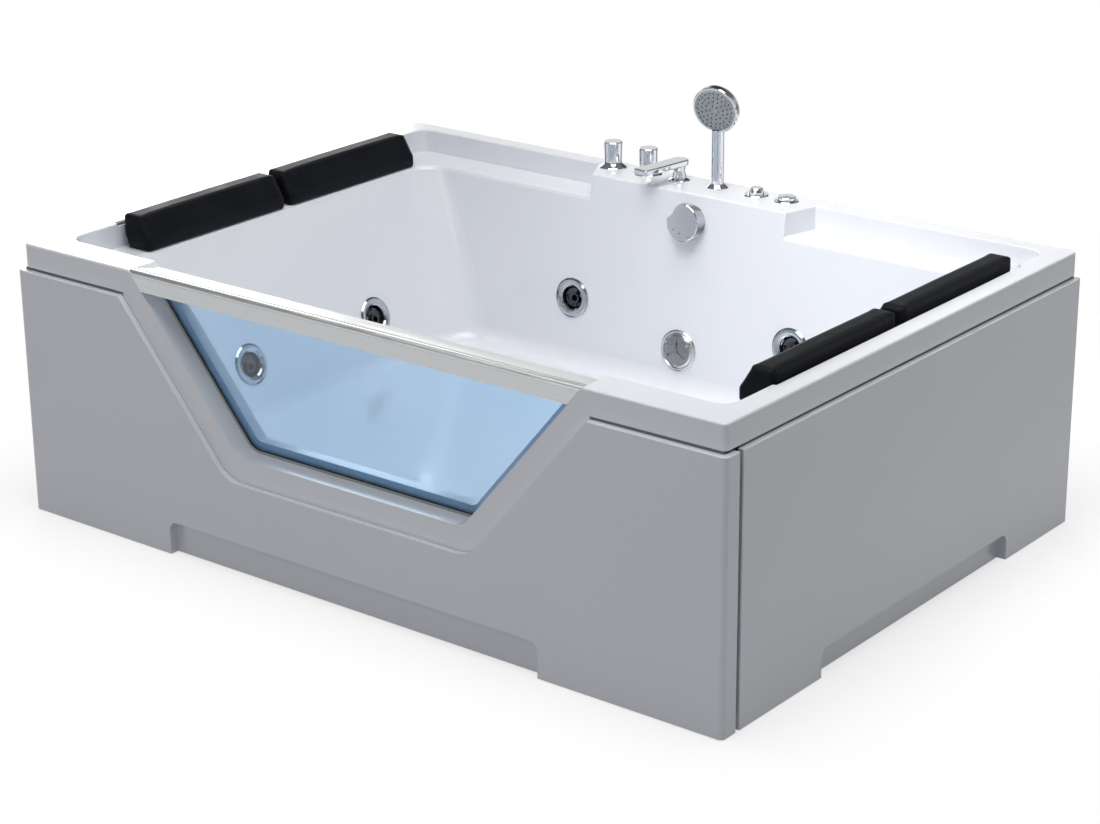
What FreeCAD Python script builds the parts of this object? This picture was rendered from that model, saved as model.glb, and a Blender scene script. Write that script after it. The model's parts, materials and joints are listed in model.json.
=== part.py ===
import FreeCAD, Part
import math
import os

# Jetted bathtub for two, built into its own frame with clip-on panels, a glass front window,
# deck taps with a handset, massage jets and the pump and pipes behind the skirts.
# Millimetres. +Z is up, +X runs to the right along the front, +Y runs from the window to the wall.
# The origin is the centre of the whole footprint on the floor.

V = FreeCAD.Vector

# ---- main sizes -------------------------------------------------------------------------------
rim_length = 1700.0             # rim, left to right
rim_width = 1200.0              # rim, front to back
rim_height = 570.0              # floor to the top of the rim
rim_face_height = 48.0          # height of the rim's outer face
rim_corner_radius = 10.0
rim_edge_radius = 4.0
rim_inner_radius = 3.0
shell_wall = 5.0                # acrylic with its glass-fibre backing
rim_front_width = 76.0          # rim top, front
rim_side_width = 50.0           # rim top, left and right
rim_back_width = 40.0           # rim top, back
ledge_drop = 50.0               # the inner ledge lies this far under the rim
ledge_corner_radius = 34.0
ledge_edge_radius = 8.0
side_ledge_width = 78.0
back_ledge_width = 82.0
basin_floor_height = 150.0
basin_floor_half_length = 585.0
basin_floor_back_inset = 165.0  # rim's back face to the foot of the back wall
basin_top_corner_radius = 60.0
basin_floor_corner_radius = 90.0
basin_floor_fillet = 38.0

# ---- tap deck at the back ---------------------------------------------------------------------
deck_overrun = 30.0             # construction length in front of the deck
deck_left_front = -252.0
deck_left_back = -312.0
deck_right_front = 245.0
deck_right_back = 280.0
fitting_line_inset = 43.0       # rim's back face to the line of the deck fittings
hot_tap_x = -252.0
cold_tap_x = -157.0
spout_x = -75.0
handset_x = 24.0
air_control_x = 123.0
power_button_x = 199.0

# ---- window -----------------------------------------------------------------------------------
window_half_top = 553.0         # half width of the opening at rim height
window_half_bottom = 280.0      # half width of the opening at its sill
window_sill_height = 245.0
window_corner_radius = 42.0
window_band_width = 49.0        # face band that shows between the opening and the front panel
window_band_lap = 12.0          # hidden part of that band, behind the panel
glass_thickness = 8.0
glass_setback = 45.0            # rim face to the front of the glass
glazing_flange_width = 22.0
seal_width = 3.2
seal_lip = 6.0
seal_lip_depth = 2.5
seal_clearance = 0.1
rail_face_height = 38.0
rail_rear_drop = 10.0
rail_nose_radius = 11.0
rail_slot_depth = 16.0
rail_end_clearance = 0.4
rail_slot_clearance = 0.4

# ---- panels -----------------------------------------------------------------------------------
panel_wall = 4.0
panel_top_gap = 5.0             # rim's lower edge to the panel
panel_floor_gap = 2.0
panel_rim_return = 12.0         # turned-in edge
front_panel_proud = 13.0
side_panel_proud = 10.0
front_panel_end_depth = 40.0
panel_corner_gap = 11.0
panel_corner_radius = 10.0
panel_edge_radius = 2.5
panel_cutout_radius = 72.0
front_kick_left = -465.0
front_kick_right = 460.0
front_kick_height = 72.0
side_kick_front = -305.0
side_kick_back = 355.0
side_kick_height = 58.0
kick_depth = 19.0
kick_corner_radius = 20.0

# ---- frame ------------------------------------------------------------------------------------
tube_size = 25.0
tube_wall = 2.0
board_thickness = 18.0
board_margin = 62.0             # floor edge to the board's edge
frame_side_inset = 25.0         # rim's end face to the centre line of the end tubes
frame_front_inset = 40.0
frame_back_inset = 20.5
outer_cross_inset = 185.0       # end tubes to the outer cross tubes
inner_cross_x = 300.0
front_post_inset = 135.0        # end tubes to the inner front posts
back_post_x = 420.0
side_post_front_y = -400.0
side_post_back_y = 300.0
bracket_width = 30.0
bracket_leg = 24.0
bracket_thickness = 3.0
bracket_low_z = 165.0
bracket_drop = 52.0             # panel's top edge to the upper brackets
screw_radius = 2.5
screw_clearance = 0.3
screw_head_radius = 4.5
screw_head_height = 3.5
screw_length = 9.0
foot_stem_radius = 6.0
foot_pad_radius = 20.0
foot_pad_height = 10.0
foot_stem_clearance = 0.3
foot_nut_flats = 19.0
foot_nut_height = 9.0

# ---- pillows ----------------------------------------------------------------------------------
pillow_front_margin = 140.0     # front rim to the first pillow
pillow_back_margin = 118.0      # last pillow to the back rim
pillow_gap = 18.0
pillow_recess_depth = 6.0       # shallow pocket in the rim beside the pillows
pillow_recess_width = 12.0
pillow_recess_margin = 10.0
pillow_recess_radius = 9.0
pillow_height = 70.0
pillow_top_width = 47.0
pillow_front_run = 28.0         # how far the slanted face leans back
pillow_front_foot = 24.0        # upright foot of the front face
pillow_back_lean = 10.0         # outer side, drawn in at its foot
pillow_back_rise = 30.0
pillow_seat_gap = 0.3
pillow_corner_radius = 4.0
pillow_end_inset = 3.0
pillow_end_length = 12.0
pillow_crown = 1.2
stud_radius = 5.0
stud_height = 14.0
stud_clearance = 0.5
stud_inset = 82.0               # pillow's end to its stud
stud_head_radius = 8.0
stud_head_height = 4.0

# ---- deck fittings ----------------------------------------------------------------------------
tap_flange_radius = 31.0
tap_flange_height = 11.0
tap_knob_radius = 19.5
tap_knob_top_radius = 20.5
tap_knob_height = 46.0
tap_knob_gap = 0.6
knob_wall = 3.0
tap_spindle_radius = 5.0
running_clearance = 0.05
tap_shank_radius = 13.5
shank_clearance = 0.5
tap_shank_depth = 66.0
tap_inlet_radius = 10.48        # half-inch pipe thread
tap_inlet_length = 18.0
mixer_pipe_radius = 9.0
tap_body_radius = 17.0
tap_body_height = 44.0
locknut_extra = 12.0            # across flats, over the shank's diameter
locknut_height = 9.0
deck_flange_radius = 23.5
deck_flange_height = 9.0
spout_stem_radius = 15.0
spout_waist_radius = 12.0
spout_rise = 46.0               # deck to the top of the spout
spout_bar_width = 38.0
spout_bar_thickness = 13.0
spout_reach = 122.0
spout_overhang = 19.0           # behind the stem
spout_bar_edge = 5.0
spout_outlet_width = 26.0
spout_outlet_length = 7.0
spout_channel_height = 5.0
spout_turn = 8.0                # degrees off square, towards the taps
spout_shank_radius = 11.0
spout_shank_depth = 52.0
nipple_wall = 2.5
nipple_depth = 60.0
handle_radius = 13.5
handle_height = 124.0
holder_bore_clearance = 0.5
holder_socket_depth = 6.0
holder_depth = 80.0
hose_nut_radius = 11.0
hose_nut_height = 34.0
hose_tail_radius = 6.0
hose_tail_length = 18.0
hose_pivot_radius = 8.0
hose_pivot_height = 16.0
hose_nut_clearance = 1.5
seat_gap = 0.3
neck_radius = 8.0
neck_height = 20.0
head_radius = 51.0
head_thickness = 26.0
head_face_radius = 46.0
head_face_depth = 4.0
head_face_clearance = 0.1
head_tilt = 12.0                # degrees that the spray face looks down
head_turn = 9.0                 # degrees that the spray face looks right
head_lift = 46.0                # neck's foot to the head's centre
head_forward = 4.0
spray_hole_radius = 1.3
spray_rings = [(10.0, 6), (20.0, 12), (30.0, 18), (39.0, 24)]
spray_hole_depth = 1.5
control_ring_radius = 26.5
control_ring_height = 3.0
air_knob_radius = 17.0
air_knob_height = 13.0
air_grip_count = 3
control_shank_radius = 15.0
control_shank_depth = 40.0
air_body_radius = 19.0
air_body_depth = 85.0
button_radius = 20.0
button_travel = 4.0
button_thickness = 6.0
button_clearance = 0.4
button_stem_radius = 4.0
button_stem_length = 22.0
switch_body_depth = 66.0

# ---- wall fittings ----------------------------------------------------------------------------
jet_ring_radius = 44.0
jet_ring_height = 5.0
jet_mouth_radius = 29.0
jet_sleeve_wall = 3.0
jet_sleeve_depth = 24.0
jet_body_radius = 36.0
jet_body_depth = 60.0
jet_flange_radius = 42.0
jet_flange_height = 4.0
jet_nozzle_radius = 26.0
jet_nozzle_sink = 5.0
jet_nozzle_height = 15.0
jet_port_radius = 8.0
jet_port_offset = 5.0
jet_port_lip = 3.0
jet_port_height = 6.0
jet_pivot_radius = 7.0
jet_pivot_length = 30.0
sleeve_clearance = 0.2
back_jet_x = 285.0
back_jet_z = 292.0
side_jet_front_y = -205.0
side_jet_back_y = 182.0
side_jet_z = 252.0
suction_x = 6.0
suction_z = 232.0
suction_radius = 45.0
suction_rim_height = 4.0
suction_dome_radius = 38.0
suction_dome_height = 8.0
suction_arms = 3
suction_arm_width = 5.0
suction_arm_length = 26.0
suction_screw_circle = 31.0
suction_body_radius = 36.0
suction_body_depth = 42.0
suction_neck_length = 12.0
suction_mouth_radius = 26.0
overflow_x = 14.0
overflow_drop = 57.0            # rim top to the overflow's centre
overflow_knob_radius = 40.0
overflow_knob_height = 27.0
overflow_plate_radius = 35.0
overflow_plate_height = 9.0
overflow_flat = 12.0            # depth of the thumb flat cut into the knob
overflow_stem_radius = 8.0
overflow_hole_radius = 22.0
overflow_body_radius = 27.0
overflow_body_depth = 30.0

# ---- waste ------------------------------------------------------------------------------------
drain_x = 20.0
drain_inset = 100.0             # foot of the back wall to the drain
drain_flange_radius = 35.0
drain_flange_height = 3.0
drain_throat_radius = 21.0
drain_throat_wall = 2.5
drain_throat_depth = 34.0
drain_thread_clearance = 0.3
plug_radius = 29.0
plug_height = 7.0
plug_gap = 0.4
plug_stem_radius = 4.0
plug_stem_length = 40.0
drain_bar_width = 4.0
trap_radius = 31.0
trap_bottom_z = 44.0
board_drain_hole_radius = 41.0
waste_pipe_radius = 20.0
waste_pipe_z = 68.0
waste_seat_length = 60.0        # how far a socket slides over the spigot
waste_stop_radius = 23.0
waste_stop_width = 5.0
waste_end_gap = 5.0             # spigot's end to the wall
overflow_pipe_radius = 14.0
overflow_bend_reach = 16.0
overflow_pipe_x = 78.0
overflow_pipe_inset = 60.0      # rim's back face to the drop pipe
overflow_pipe_z = 84.0

# ---- pipes and pump ---------------------------------------------------------------------------
pipe_wall = 2.0
water_pipe_radius = 16.0
water_main_z = 165.0
water_main_overrun = 24.0       # capped end past the last drop pipe
jet_feed_depth = 42.0           # where the water enters a jet body, behind the wall
jet_socket_length = 10.0
socket_end_gap = 0.5
drop_pipe_radius = 11.0
suction_pipe_radius = 20.0
suction_pipe_inset = 55.0       # rim's back face to the suction pipe
air_pipe_radius = 5.0
air_pipe_wall = 1.2
air_header_z = 400.0
air_header_inset = 100.0        # rim's back face to the air header
air_elbow_reach = 14.0
air_riser_reach = 26.0          # back of an end jet to its riser
pump_inset = 57.0               # left end tube to the pump's axis
volute_y = 90.0
volute_radius = 75.0
volute_width = 62.0
volute_wall = 5.0
volute_eye_length = 12.0
volute_outlet_x = 78.0
motor_radius = 64.0
motor_length = 170.0
motor_wall = 5.0
fan_cover_length = 34.0
fan_cover_wall = 2.0
motor_rib_count = 24
motor_rib_height = 4.0
fan_slot_count = 12
shaft_radius = 7.0
impeller_radius = 58.0
impeller_width = 16.0
impeller_vanes = 6
fan_radius = 52.0
fan_blades = 8
fan_width = 16.0
pump_plate_thickness = 5.0
terminal_box_size = (70.0, 80.0, 34.0)
gland_radius = 9.0

footprint_shift_y = front_panel_proud / 2.0

# ---- derived places ---------------------------------------------------------------------------
rim_half_x = rim_length / 2.0
rim_half_y = rim_width / 2.0
fitting_line_y = rim_half_y - fitting_line_inset
rim_top = rim_height
rim_bottom = rim_top - rim_face_height
deck_under = rim_top - shell_wall
ledge_z = rim_top - ledge_drop
ledge_half_x = rim_half_x - rim_side_width
ledge_back_y = rim_half_y - rim_back_width
basin_front_y = -rim_half_y + rim_front_width
basin_floor_back = rim_half_y - basin_floor_back_inset
basin_top_half_x = ledge_half_x - side_ledge_width
basin_top_back = ledge_back_y - back_ledge_width
side_slope = (basin_top_half_x - basin_floor_half_length) / (ledge_z - basin_floor_height)
back_slope = (basin_top_back - basin_floor_back) / (ledge_z - basin_floor_height)
floor_under = basin_floor_height - shell_wall
board_bottom = floor_under - board_thickness
tube_bottom = board_bottom - tube_size
half_tube = tube_size / 2.0
front_face_y = -rim_half_y
panel_top = rim_bottom - panel_top_gap
bracket_high_z = panel_top - bracket_drop
frame_side_x = rim_half_x - frame_side_inset
frame_front_y = -rim_half_y + frame_front_inset
frame_back_y = rim_half_y - frame_back_inset
outer_cross_x = frame_side_x - outer_cross_inset
cross_positions = [-outer_cross_x, -inner_cross_x, inner_cross_x, outer_cross_x]
front_post_x = frame_side_x - front_post_inset
pillow_first_y = basin_front_y + pillow_front_margin
pillow_room = ledge_back_y - pillow_back_margin - pillow_first_y
pillow_length = (pillow_room - pillow_gap) / 2.0
stud_spacing = pillow_length - 2.0 * stud_inset
overflow_z = rim_top - overflow_drop
drain_y = basin_floor_back - drain_inset
overflow_pipe_y = rim_half_y - overflow_pipe_inset
air_header_y = rim_half_y - air_header_inset
suction_pipe_y = rim_half_y - suction_pipe_inset
pump_x = -frame_side_x + pump_inset
suction_run = suction_pipe_y - (basin_floor_back + back_slope * (suction_z - basin_floor_height))
pump_axis_z = suction_z - back_slope * suction_run
above = 6.0                     # how far a cutting shape runs past what it cuts


# ---- small helpers ----------------------------------------------------------------------------
def box(x0, x1, y0, y1, z0, z1):
    return Part.makeBox(x1 - x0, y1 - y0, z1 - z0, V(x0, y0, z0))


def cylinder(radius, z0, z1, x=0.0, y=0.0):
    return Part.makeCylinder(radius, z1 - z0, V(x, y, z0))


def tube(outer, inner, z0, z1, x=0.0, y=0.0):
    return cylinder(outer, z0, z1, x, y).cut(cylinder(inner, z0 - above, z1 + above, x, y))


def rod(start, end, radius):
    along = V(*end) - V(*start)
    return Part.makeCylinder(radius, along.Length, V(*start), along)


def fuse(shapes):
    whole = shapes[0]
    if len(shapes) > 1:
        whole = whole.multiFuse(shapes[1:])
    return whole.removeSplitter()


def group(shapes):
    return Part.makeCompound(shapes)


def turned(profile):
    """Solid of revolution about Z from a closed outline of (radius, height) points."""
    points = [V(r, 0, z) for r, z in profile]
    wire = Part.makePolygon(points + [points[0]])
    return Part.Face(wire).revolve(V(0, 0, 0), V(0, 0, 1), 360)


def hexagon(flats, z0, z1, x=0.0, y=0.0):
    radius = flats / math.sqrt(3.0)
    points = []
    for corner in range(6):
        angle = math.radians(60.0 * corner)
        points.append(V(x + radius * math.cos(angle), y + radius * math.sin(angle), z0))
    return Part.Face(Part.makePolygon(points + [points[0]])).extrude(V(0, 0, z1 - z0))


def nut(flats, bore, z0, z1, x, y):
    return hexagon(flats, z0, z1, x, y).cut(cylinder(bore, z0 - 1, z1 + 1, x, y))


def aim(shape, place, direction):
    """Puts a shape built about the Z axis at a place, with its Z axis along a direction."""
    moved = shape.copy()
    turn = FreeCAD.Rotation(V(0, 0, 1), direction)
    moved.Placement = FreeCAD.Placement(place, turn)
    return moved


def round_edges(shape, radius, keep):
    edges = [edge for edge in shape.Edges if keep(edge)]
    return shape.makeFillet(radius, edges)


def is_upright(edge):
    low = edge.BoundBox
    return low.XLength < 1e-6 and low.YLength < 1e-6


def runs_along_y(edge):
    low = edge.BoundBox
    return low.XLength < 1e-6 and low.ZLength < 1e-6


def lies_at(edge, z):
    low = edge.BoundBox
    return abs(low.ZMin - z) < 1e-4 and abs(low.ZMax - z) < 1e-4


def rounded_rectangle(x0, x1, y0, y1, radius, z):
    """Closed wire of four lines and four quarter arcs, started at the same corner each time."""
    half = radius * (1.0 - math.sqrt(0.5))
    lines = [
        (V(x0 + radius, y0, z), V(x1 - radius, y0, z)),
        (V(x1, y0 + radius, z), V(x1, y1 - radius, z)),
        (V(x1 - radius, y1, z), V(x0 + radius, y1, z)),
        (V(x0, y1 - radius, z), V(x0, y0 + radius, z)),
    ]
    middles = [
        V(x1 - half, y0 + half, z),
        V(x1 - half, y1 - half, z),
        V(x0 + half, y1 - half, z),
        V(x0 + half, y0 + half, z),
    ]
    edges = []
    for side in range(4):
        start, end = lines[side]
        following = lines[(side + 1) % 4][0]
        edges.append(Part.makeLine(start, end))
        edges.append(Part.Arc(end, middles[side], following).toShape())
    return Part.Wire(edges)


def pipe_path(points, radius):
    """Straight pipes with ball elbows at the inner points."""
    pieces = []
    for start, end in zip(points[:-1], points[1:]):
        pieces.append(rod(start, end, radius))
    for corner in points[1:-1]:
        pieces.append(Part.makeSphere(radius, V(*corner)))
    return pieces


def pipes(paths, wall):
    """Hollow pipework from (points, radius) paths that join where they meet."""
    outer = []
    inner = []
    for points, radius in paths:
        outer.append(fuse(pipe_path(points, radius)))
        inner.append(fuse(pipe_path(points, radius - wall)))
    return fuse(outer).cut(fuse(inner))


def save(node, shape):
    placed = shape.copy()
    placed.translate(V(0, footprint_shift_y, 0))
    placed.exportStep("parts/" + node + ".step")


# ---- outlines that several pieces share -------------------------------------------------------
def window_half_width(offset, z):
    slope = (window_half_top - window_half_bottom) / (rim_top - window_sill_height)
    lean = math.sqrt(1.0 + slope * slope)
    return window_half_top + slope * (z - rim_top) + offset * lean


def window_prism(offset, z_top, y0, y1, corner_radius=None):
    """The window's trapezoid, grown by an offset, as a solid from y0 to y1."""
    z_low = window_sill_height - offset
    low = window_half_width(offset, z_low)
    high = window_half_width(offset, z_top)
    points = [V(-high, y0, z_top), V(-low, y0, z_low), V(low, y0, z_low), V(high, y0, z_top)]
    solid = Part.Face(Part.makePolygon(points + [points[0]])).extrude(V(0, y1 - y0, 0))
    radius = corner_radius
    if radius is None:
        radius = window_corner_radius + offset
    return round_edges(solid, radius, lambda e: runs_along_y(e) and lies_at(e, z_low))


def basin_half_x(z):
    return basin_floor_half_length + side_slope * (z - basin_floor_height)


def basin_back_y(z):
    return basin_floor_back + back_slope * (z - basin_floor_height)


def rounding_levels(top, radius):
    """Heights of a cutting solid that rounds an edge at the top, with its growth at each."""
    share = 1.0 - math.sqrt(0.5)
    return [(top - radius, 0.0), (top - share * radius, share * radius), (top, radius),
            (top + above, radius)]


def basin_outline(z, grow, radius):
    half = basin_half_x(z) + grow
    front = basin_front_y - grow
    return rounded_rectangle(-half, half, front, basin_back_y(z) + grow, radius + grow, z)


def basin_flare(top, radius):
    """Widens the mouth of the basin by a rounding at a height."""
    outlines = []
    for z, extra in rounding_levels(top, radius):
        outlines.append(basin_outline(z, extra, basin_top_corner_radius))
    return Part.makeLoft(outlines, True, True)


def basin_solid(grow):
    """The space of the basin, or with a growth the outside of its wall."""
    z_low = basin_floor_height - grow
    z_high = rim_top + above
    sections = [basin_outline(z_low, grow, basin_floor_corner_radius),
                basin_outline(z_high, grow, basin_top_corner_radius)]
    solid = Part.makeLoft(sections, True, True)
    return round_edges(solid, basin_floor_fillet + grow, lambda e: lies_at(e, z_low))


def tray_outline(z, grow):
    half = ledge_half_x + grow
    return rounded_rectangle(-half, half, basin_front_y - grow, ledge_back_y + grow,
                             ledge_corner_radius + grow, z)


def deck_outline(z, shrink):
    """Trapezoid of the tap deck, drawn past its front and its back."""
    run = rim_half_y - basin_top_back
    left_lean = (deck_left_back - deck_left_front) / run
    right_lean = (deck_right_back - deck_right_front) / run
    front = basin_top_back - deck_overrun
    left = deck_left_front - left_lean * deck_overrun + shrink
    right = deck_right_front - right_lean * deck_overrun - shrink
    depth = run + deck_overrun
    points = [V(left, front, z), V(right, front, z), V(right + right_lean * depth, rim_half_y, z),
              V(left + left_lean * depth, rim_half_y, z)]
    return Part.makePolygon(points + [points[0]])


def deck_solid(grow, rounding):
    levels = [(ledge_z - 3.0 * ledge_edge_radius, 0.0)]
    if rounding > 0.0:
        levels += rounding_levels(rim_top, rounding)
    else:
        levels.append((rim_top + above, 0.0))
    return Part.makeLoft([deck_outline(z, grow + extra) for z, extra in levels], True, True)


def ledge_solid(grow, rounding):
    """The shallow tray above the ledge, less the raised tap deck."""
    levels = [(ledge_z - grow, 0.0)]
    if rounding > 0.0:
        levels += rounding_levels(rim_top, rounding)
    else:
        levels.append((rim_top + above, 0.0))
    tray = Part.makeLoft([tray_outline(z, grow + extra) for z, extra in levels], True, True)
    return tray.cut(deck_solid(grow, rounding))


def cavity_outside():
    return basin_solid(shell_wall).fuse(ledge_solid(shell_wall, 0.0)).removeSplitter()


def cavity_inside():
    """Basin and ledge space together, with the edges of rim, deck and ledge rounded."""
    lip = basin_flare(ledge_z, ledge_edge_radius).cut(deck_solid(0.0, 0.0))
    space = basin_solid(0.0).fuse(ledge_solid(0.0, rim_inner_radius))
    return space.fuse([lip, basin_flare(rim_top, rim_inner_radius)]).removeSplitter()


def wall_depth(inward):
    """Thickness of the sloping wall, measured square to it."""
    return shell_wall * math.sqrt(1.0 - inward.z * inward.z)


def into_basin_from_back():
    return V(0, -1, back_slope).normalize()


def into_basin_from_side(side):
    return V(-side, 0, side_slope).normalize()


def wall_fittings():
    """Place and inward direction of each jet: two in the back wall, two in each end wall."""
    places = []
    for x in (-back_jet_x, back_jet_x):
        places.append((V(x, basin_back_y(back_jet_z), back_jet_z), into_basin_from_back()))
    for side in (-1, 1):
        for y in (side_jet_front_y, side_jet_back_y):
            place = V(side * basin_half_x(side_jet_z), y, side_jet_z)
            places.append((place, into_basin_from_side(side)))
    return places


def suction_place():
    return V(suction_x, basin_back_y(suction_z), suction_z), into_basin_from_back()


def suction_screw_points():
    """Screws of the suction cover, in its own plane, between the arms of the motif."""
    points = []
    for arm in range(suction_arms):
        angle = math.radians(90.0 + 360.0 / suction_arms * (arm + 0.5))
        points.append((suction_screw_circle * math.cos(angle),
                       suction_screw_circle * math.sin(angle)))
    return points


def overflow_place():
    return V(overflow_x, basin_back_y(overflow_z), overflow_z), into_basin_from_back()


deck_fittings = [
    (hot_tap_x, tap_shank_radius),
    (cold_tap_x, tap_shank_radius),
    (spout_x, spout_shank_radius + nipple_wall),
    (handset_x, hose_nut_radius + hose_nut_clearance + nipple_wall),
    (air_control_x, control_shank_radius),
    (power_button_x, control_shank_radius),
]


def pillow_starts():
    first = pillow_first_y
    return [first, first + pillow_length + pillow_gap]


def stud_places():
    places = []
    for side in (-1, 1):
        for start in pillow_starts():
            middle = start + pillow_length / 2.0
            for step in (-0.5, 0.5):
                places.append((side * stud_x(), middle + step * stud_spacing))
    return places


def stud_x():
    return ledge_half_x - side_ledge_width / 2.0


# ---- shell ------------------------------------------------------------------------------------
def tub_shell():
    rim = box(-rim_half_x, rim_half_x, -rim_half_y, rim_half_y, rim_bottom, rim_top)
    rim = round_edges(rim, rim_corner_radius, is_upright)
    rim = round_edges(rim, rim_edge_radius, lambda e: lies_at(e, rim_top))
    inner_x = rim_half_x - shell_wall
    inner_y = rim_half_y - shell_wall
    hollow = box(-inner_x, inner_x, -inner_y, inner_y, rim_bottom - 1, deck_under)
    rim = rim.cut(round_edges(hollow, rim_corner_radius - shell_wall / 2.0, is_upright))
    outside = cavity_outside()
    plate_middle = rim_top - shell_wall / 2.0
    outside = outside.common(box(-inner_x, inner_x, -inner_y, inner_y, 0, plate_middle))
    shell = rim.fuse(outside)
    band_low = front_face_y
    band = window_prism(window_band_width + window_band_lap, deck_under, band_low,
                        band_low + shell_wall)
    reveal = window_prism(shell_wall, rim_top - rim_edge_radius, band_low, basin_front_y)
    seat_y = front_face_y + glass_setback + glass_thickness
    seat = window_prism(1.0, rim_top - rim_edge_radius, seat_y, basin_front_y)
    shell = shell.fuse(band).fuse(reveal).fuse(seat)
    shell = shell.cut(cavity_inside()).removeSplitter()
    for side in (-1, 1):
        shell = shell.cut(pillow_recess(side))
    shell = shell.cut(window_prism(0.0, rim_top + above, front_face_y - above, seat_y))
    past = basin_front_y + above
    shell = shell.cut(window_prism(-glazing_flange_width, rim_top + above, seat_y - 1, past))
    rail_low = rim_top - rail_face_height
    notch = window_prism(0.0, rim_top + above, front_face_y - above, past)
    notch = notch.common(box(-rim_half_x, rim_half_x, front_face_y - 2 * above, past,
                             rail_low, rim_top + 2 * above))
    shell = shell.cut(notch)
    holes = []
    for x, radius in deck_fittings:
        holes.append(cylinder(radius + shank_clearance, ledge_z, rim_top + above, x, fitting_line_y))
    for place, inward in wall_fittings():
        holes.append(aim(cylinder(jet_mouth_radius + sleeve_clearance, -20, 20), place, inward))
    place, inward = suction_place()
    holes.append(aim(cylinder(suction_body_radius + shank_clearance, -20, 20), place, inward))
    place, inward = overflow_place()
    holes.append(aim(cylinder(overflow_hole_radius, -20, 20), place, inward))
    throat = drain_throat_radius + drain_throat_wall + drain_thread_clearance
    holes.append(cylinder(throat, floor_under - above, basin_floor_height + above, drain_x, drain_y))
    for x, y in stud_places():
        holes.append(cylinder(stud_radius + shank_clearance, ledge_z - 20, ledge_z + 20, x, y))
    return shell.cut(holes).removeSplitter()


def pillow_recess(side):
    starts = pillow_starts()
    y0 = starts[0] - pillow_recess_margin
    y1 = starts[-1] + pillow_length + pillow_recess_margin
    low = rim_top - pillow_recess_depth
    pocket = box(ledge_half_x - above, ledge_half_x + pillow_recess_width, y0, y1, low,
                 rim_top + above)
    pocket = round_edges(pocket, pillow_recess_radius,
                         lambda e: is_upright(e) and e.BoundBox.XMin > ledge_half_x)
    if side < 0:
        pocket = pocket.mirror(V(0, 0, 0), V(1, 0, 0))
    return pocket


# ---- window parts -----------------------------------------------------------------------------
def glass_front_y():
    return front_face_y + glass_setback


def window_glass():
    top = rim_top - rail_face_height + rail_slot_depth - 1.0
    front = glass_front_y()
    return window_prism(-seal_width - 2 * seal_clearance, top, front, front + glass_thickness)


def window_seal():
    top = rim_top - rail_face_height
    front = glass_front_y()
    edge = window_prism(-seal_clearance, top, front, front + glass_thickness)
    edge = edge.cut(window_prism(-seal_width - seal_clearance, top + above, front - above,
                                 front + glass_thickness + above))
    lip = window_prism(-seal_clearance, top, front - seal_lip_depth, front)
    lip = lip.cut(window_prism(-seal_lip, top + above, front - 2 * above, front + above))
    return fuse([edge, lip])


def top_rail():
    low = rim_top - rail_face_height
    front = front_face_y
    rear = basin_front_y - 4.0
    nose = rail_nose_radius
    rise = nose * (1.0 - math.sqrt(0.5))
    slot_front = glass_front_y() - rail_slot_clearance
    slot_back = glass_front_y() + glass_thickness + rail_slot_clearance
    rear_top = rim_top - rail_rear_drop
    arc = Part.Arc(V(0, front, rim_top - nose), V(0, front + rise, rim_top - rise),
                   V(0, front + nose, rim_top)).toShape()
    corners = [
        V(0, front + nose, rim_top),
        V(0, front + nose + 2.0, rim_top),
        V(0, front + nose + 3.0, rim_top - 1.6),
        V(0, front + nose + 5.0, rim_top - 1.6),
        V(0, front + nose + 6.0, rim_top),
        V(0, rear - 8.0, rear_top + 1.5),
        V(0, rear, rear_top),
        V(0, rear, low),
        V(0, slot_back, low),
        V(0, slot_back, low + rail_slot_depth),
        V(0, slot_front, low + rail_slot_depth),
        V(0, slot_front, low),
        V(0, front, low),
        V(0, front, rim_top - nose),
    ]
    edges = [arc]
    for start, end in zip(corners[:-1], corners[1:]):
        edges.append(Part.makeLine(start, end))
    half = window_half_top + 20.0
    bar = Part.Face(Part.Wire(edges)).extrude(V(2 * half, 0, 0))
    bar.translate(V(-half, 0, 0))
    ends = window_prism(-rail_end_clearance, rim_top + above, front - above, basin_front_y + above)
    return bar.common(ends)


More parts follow.
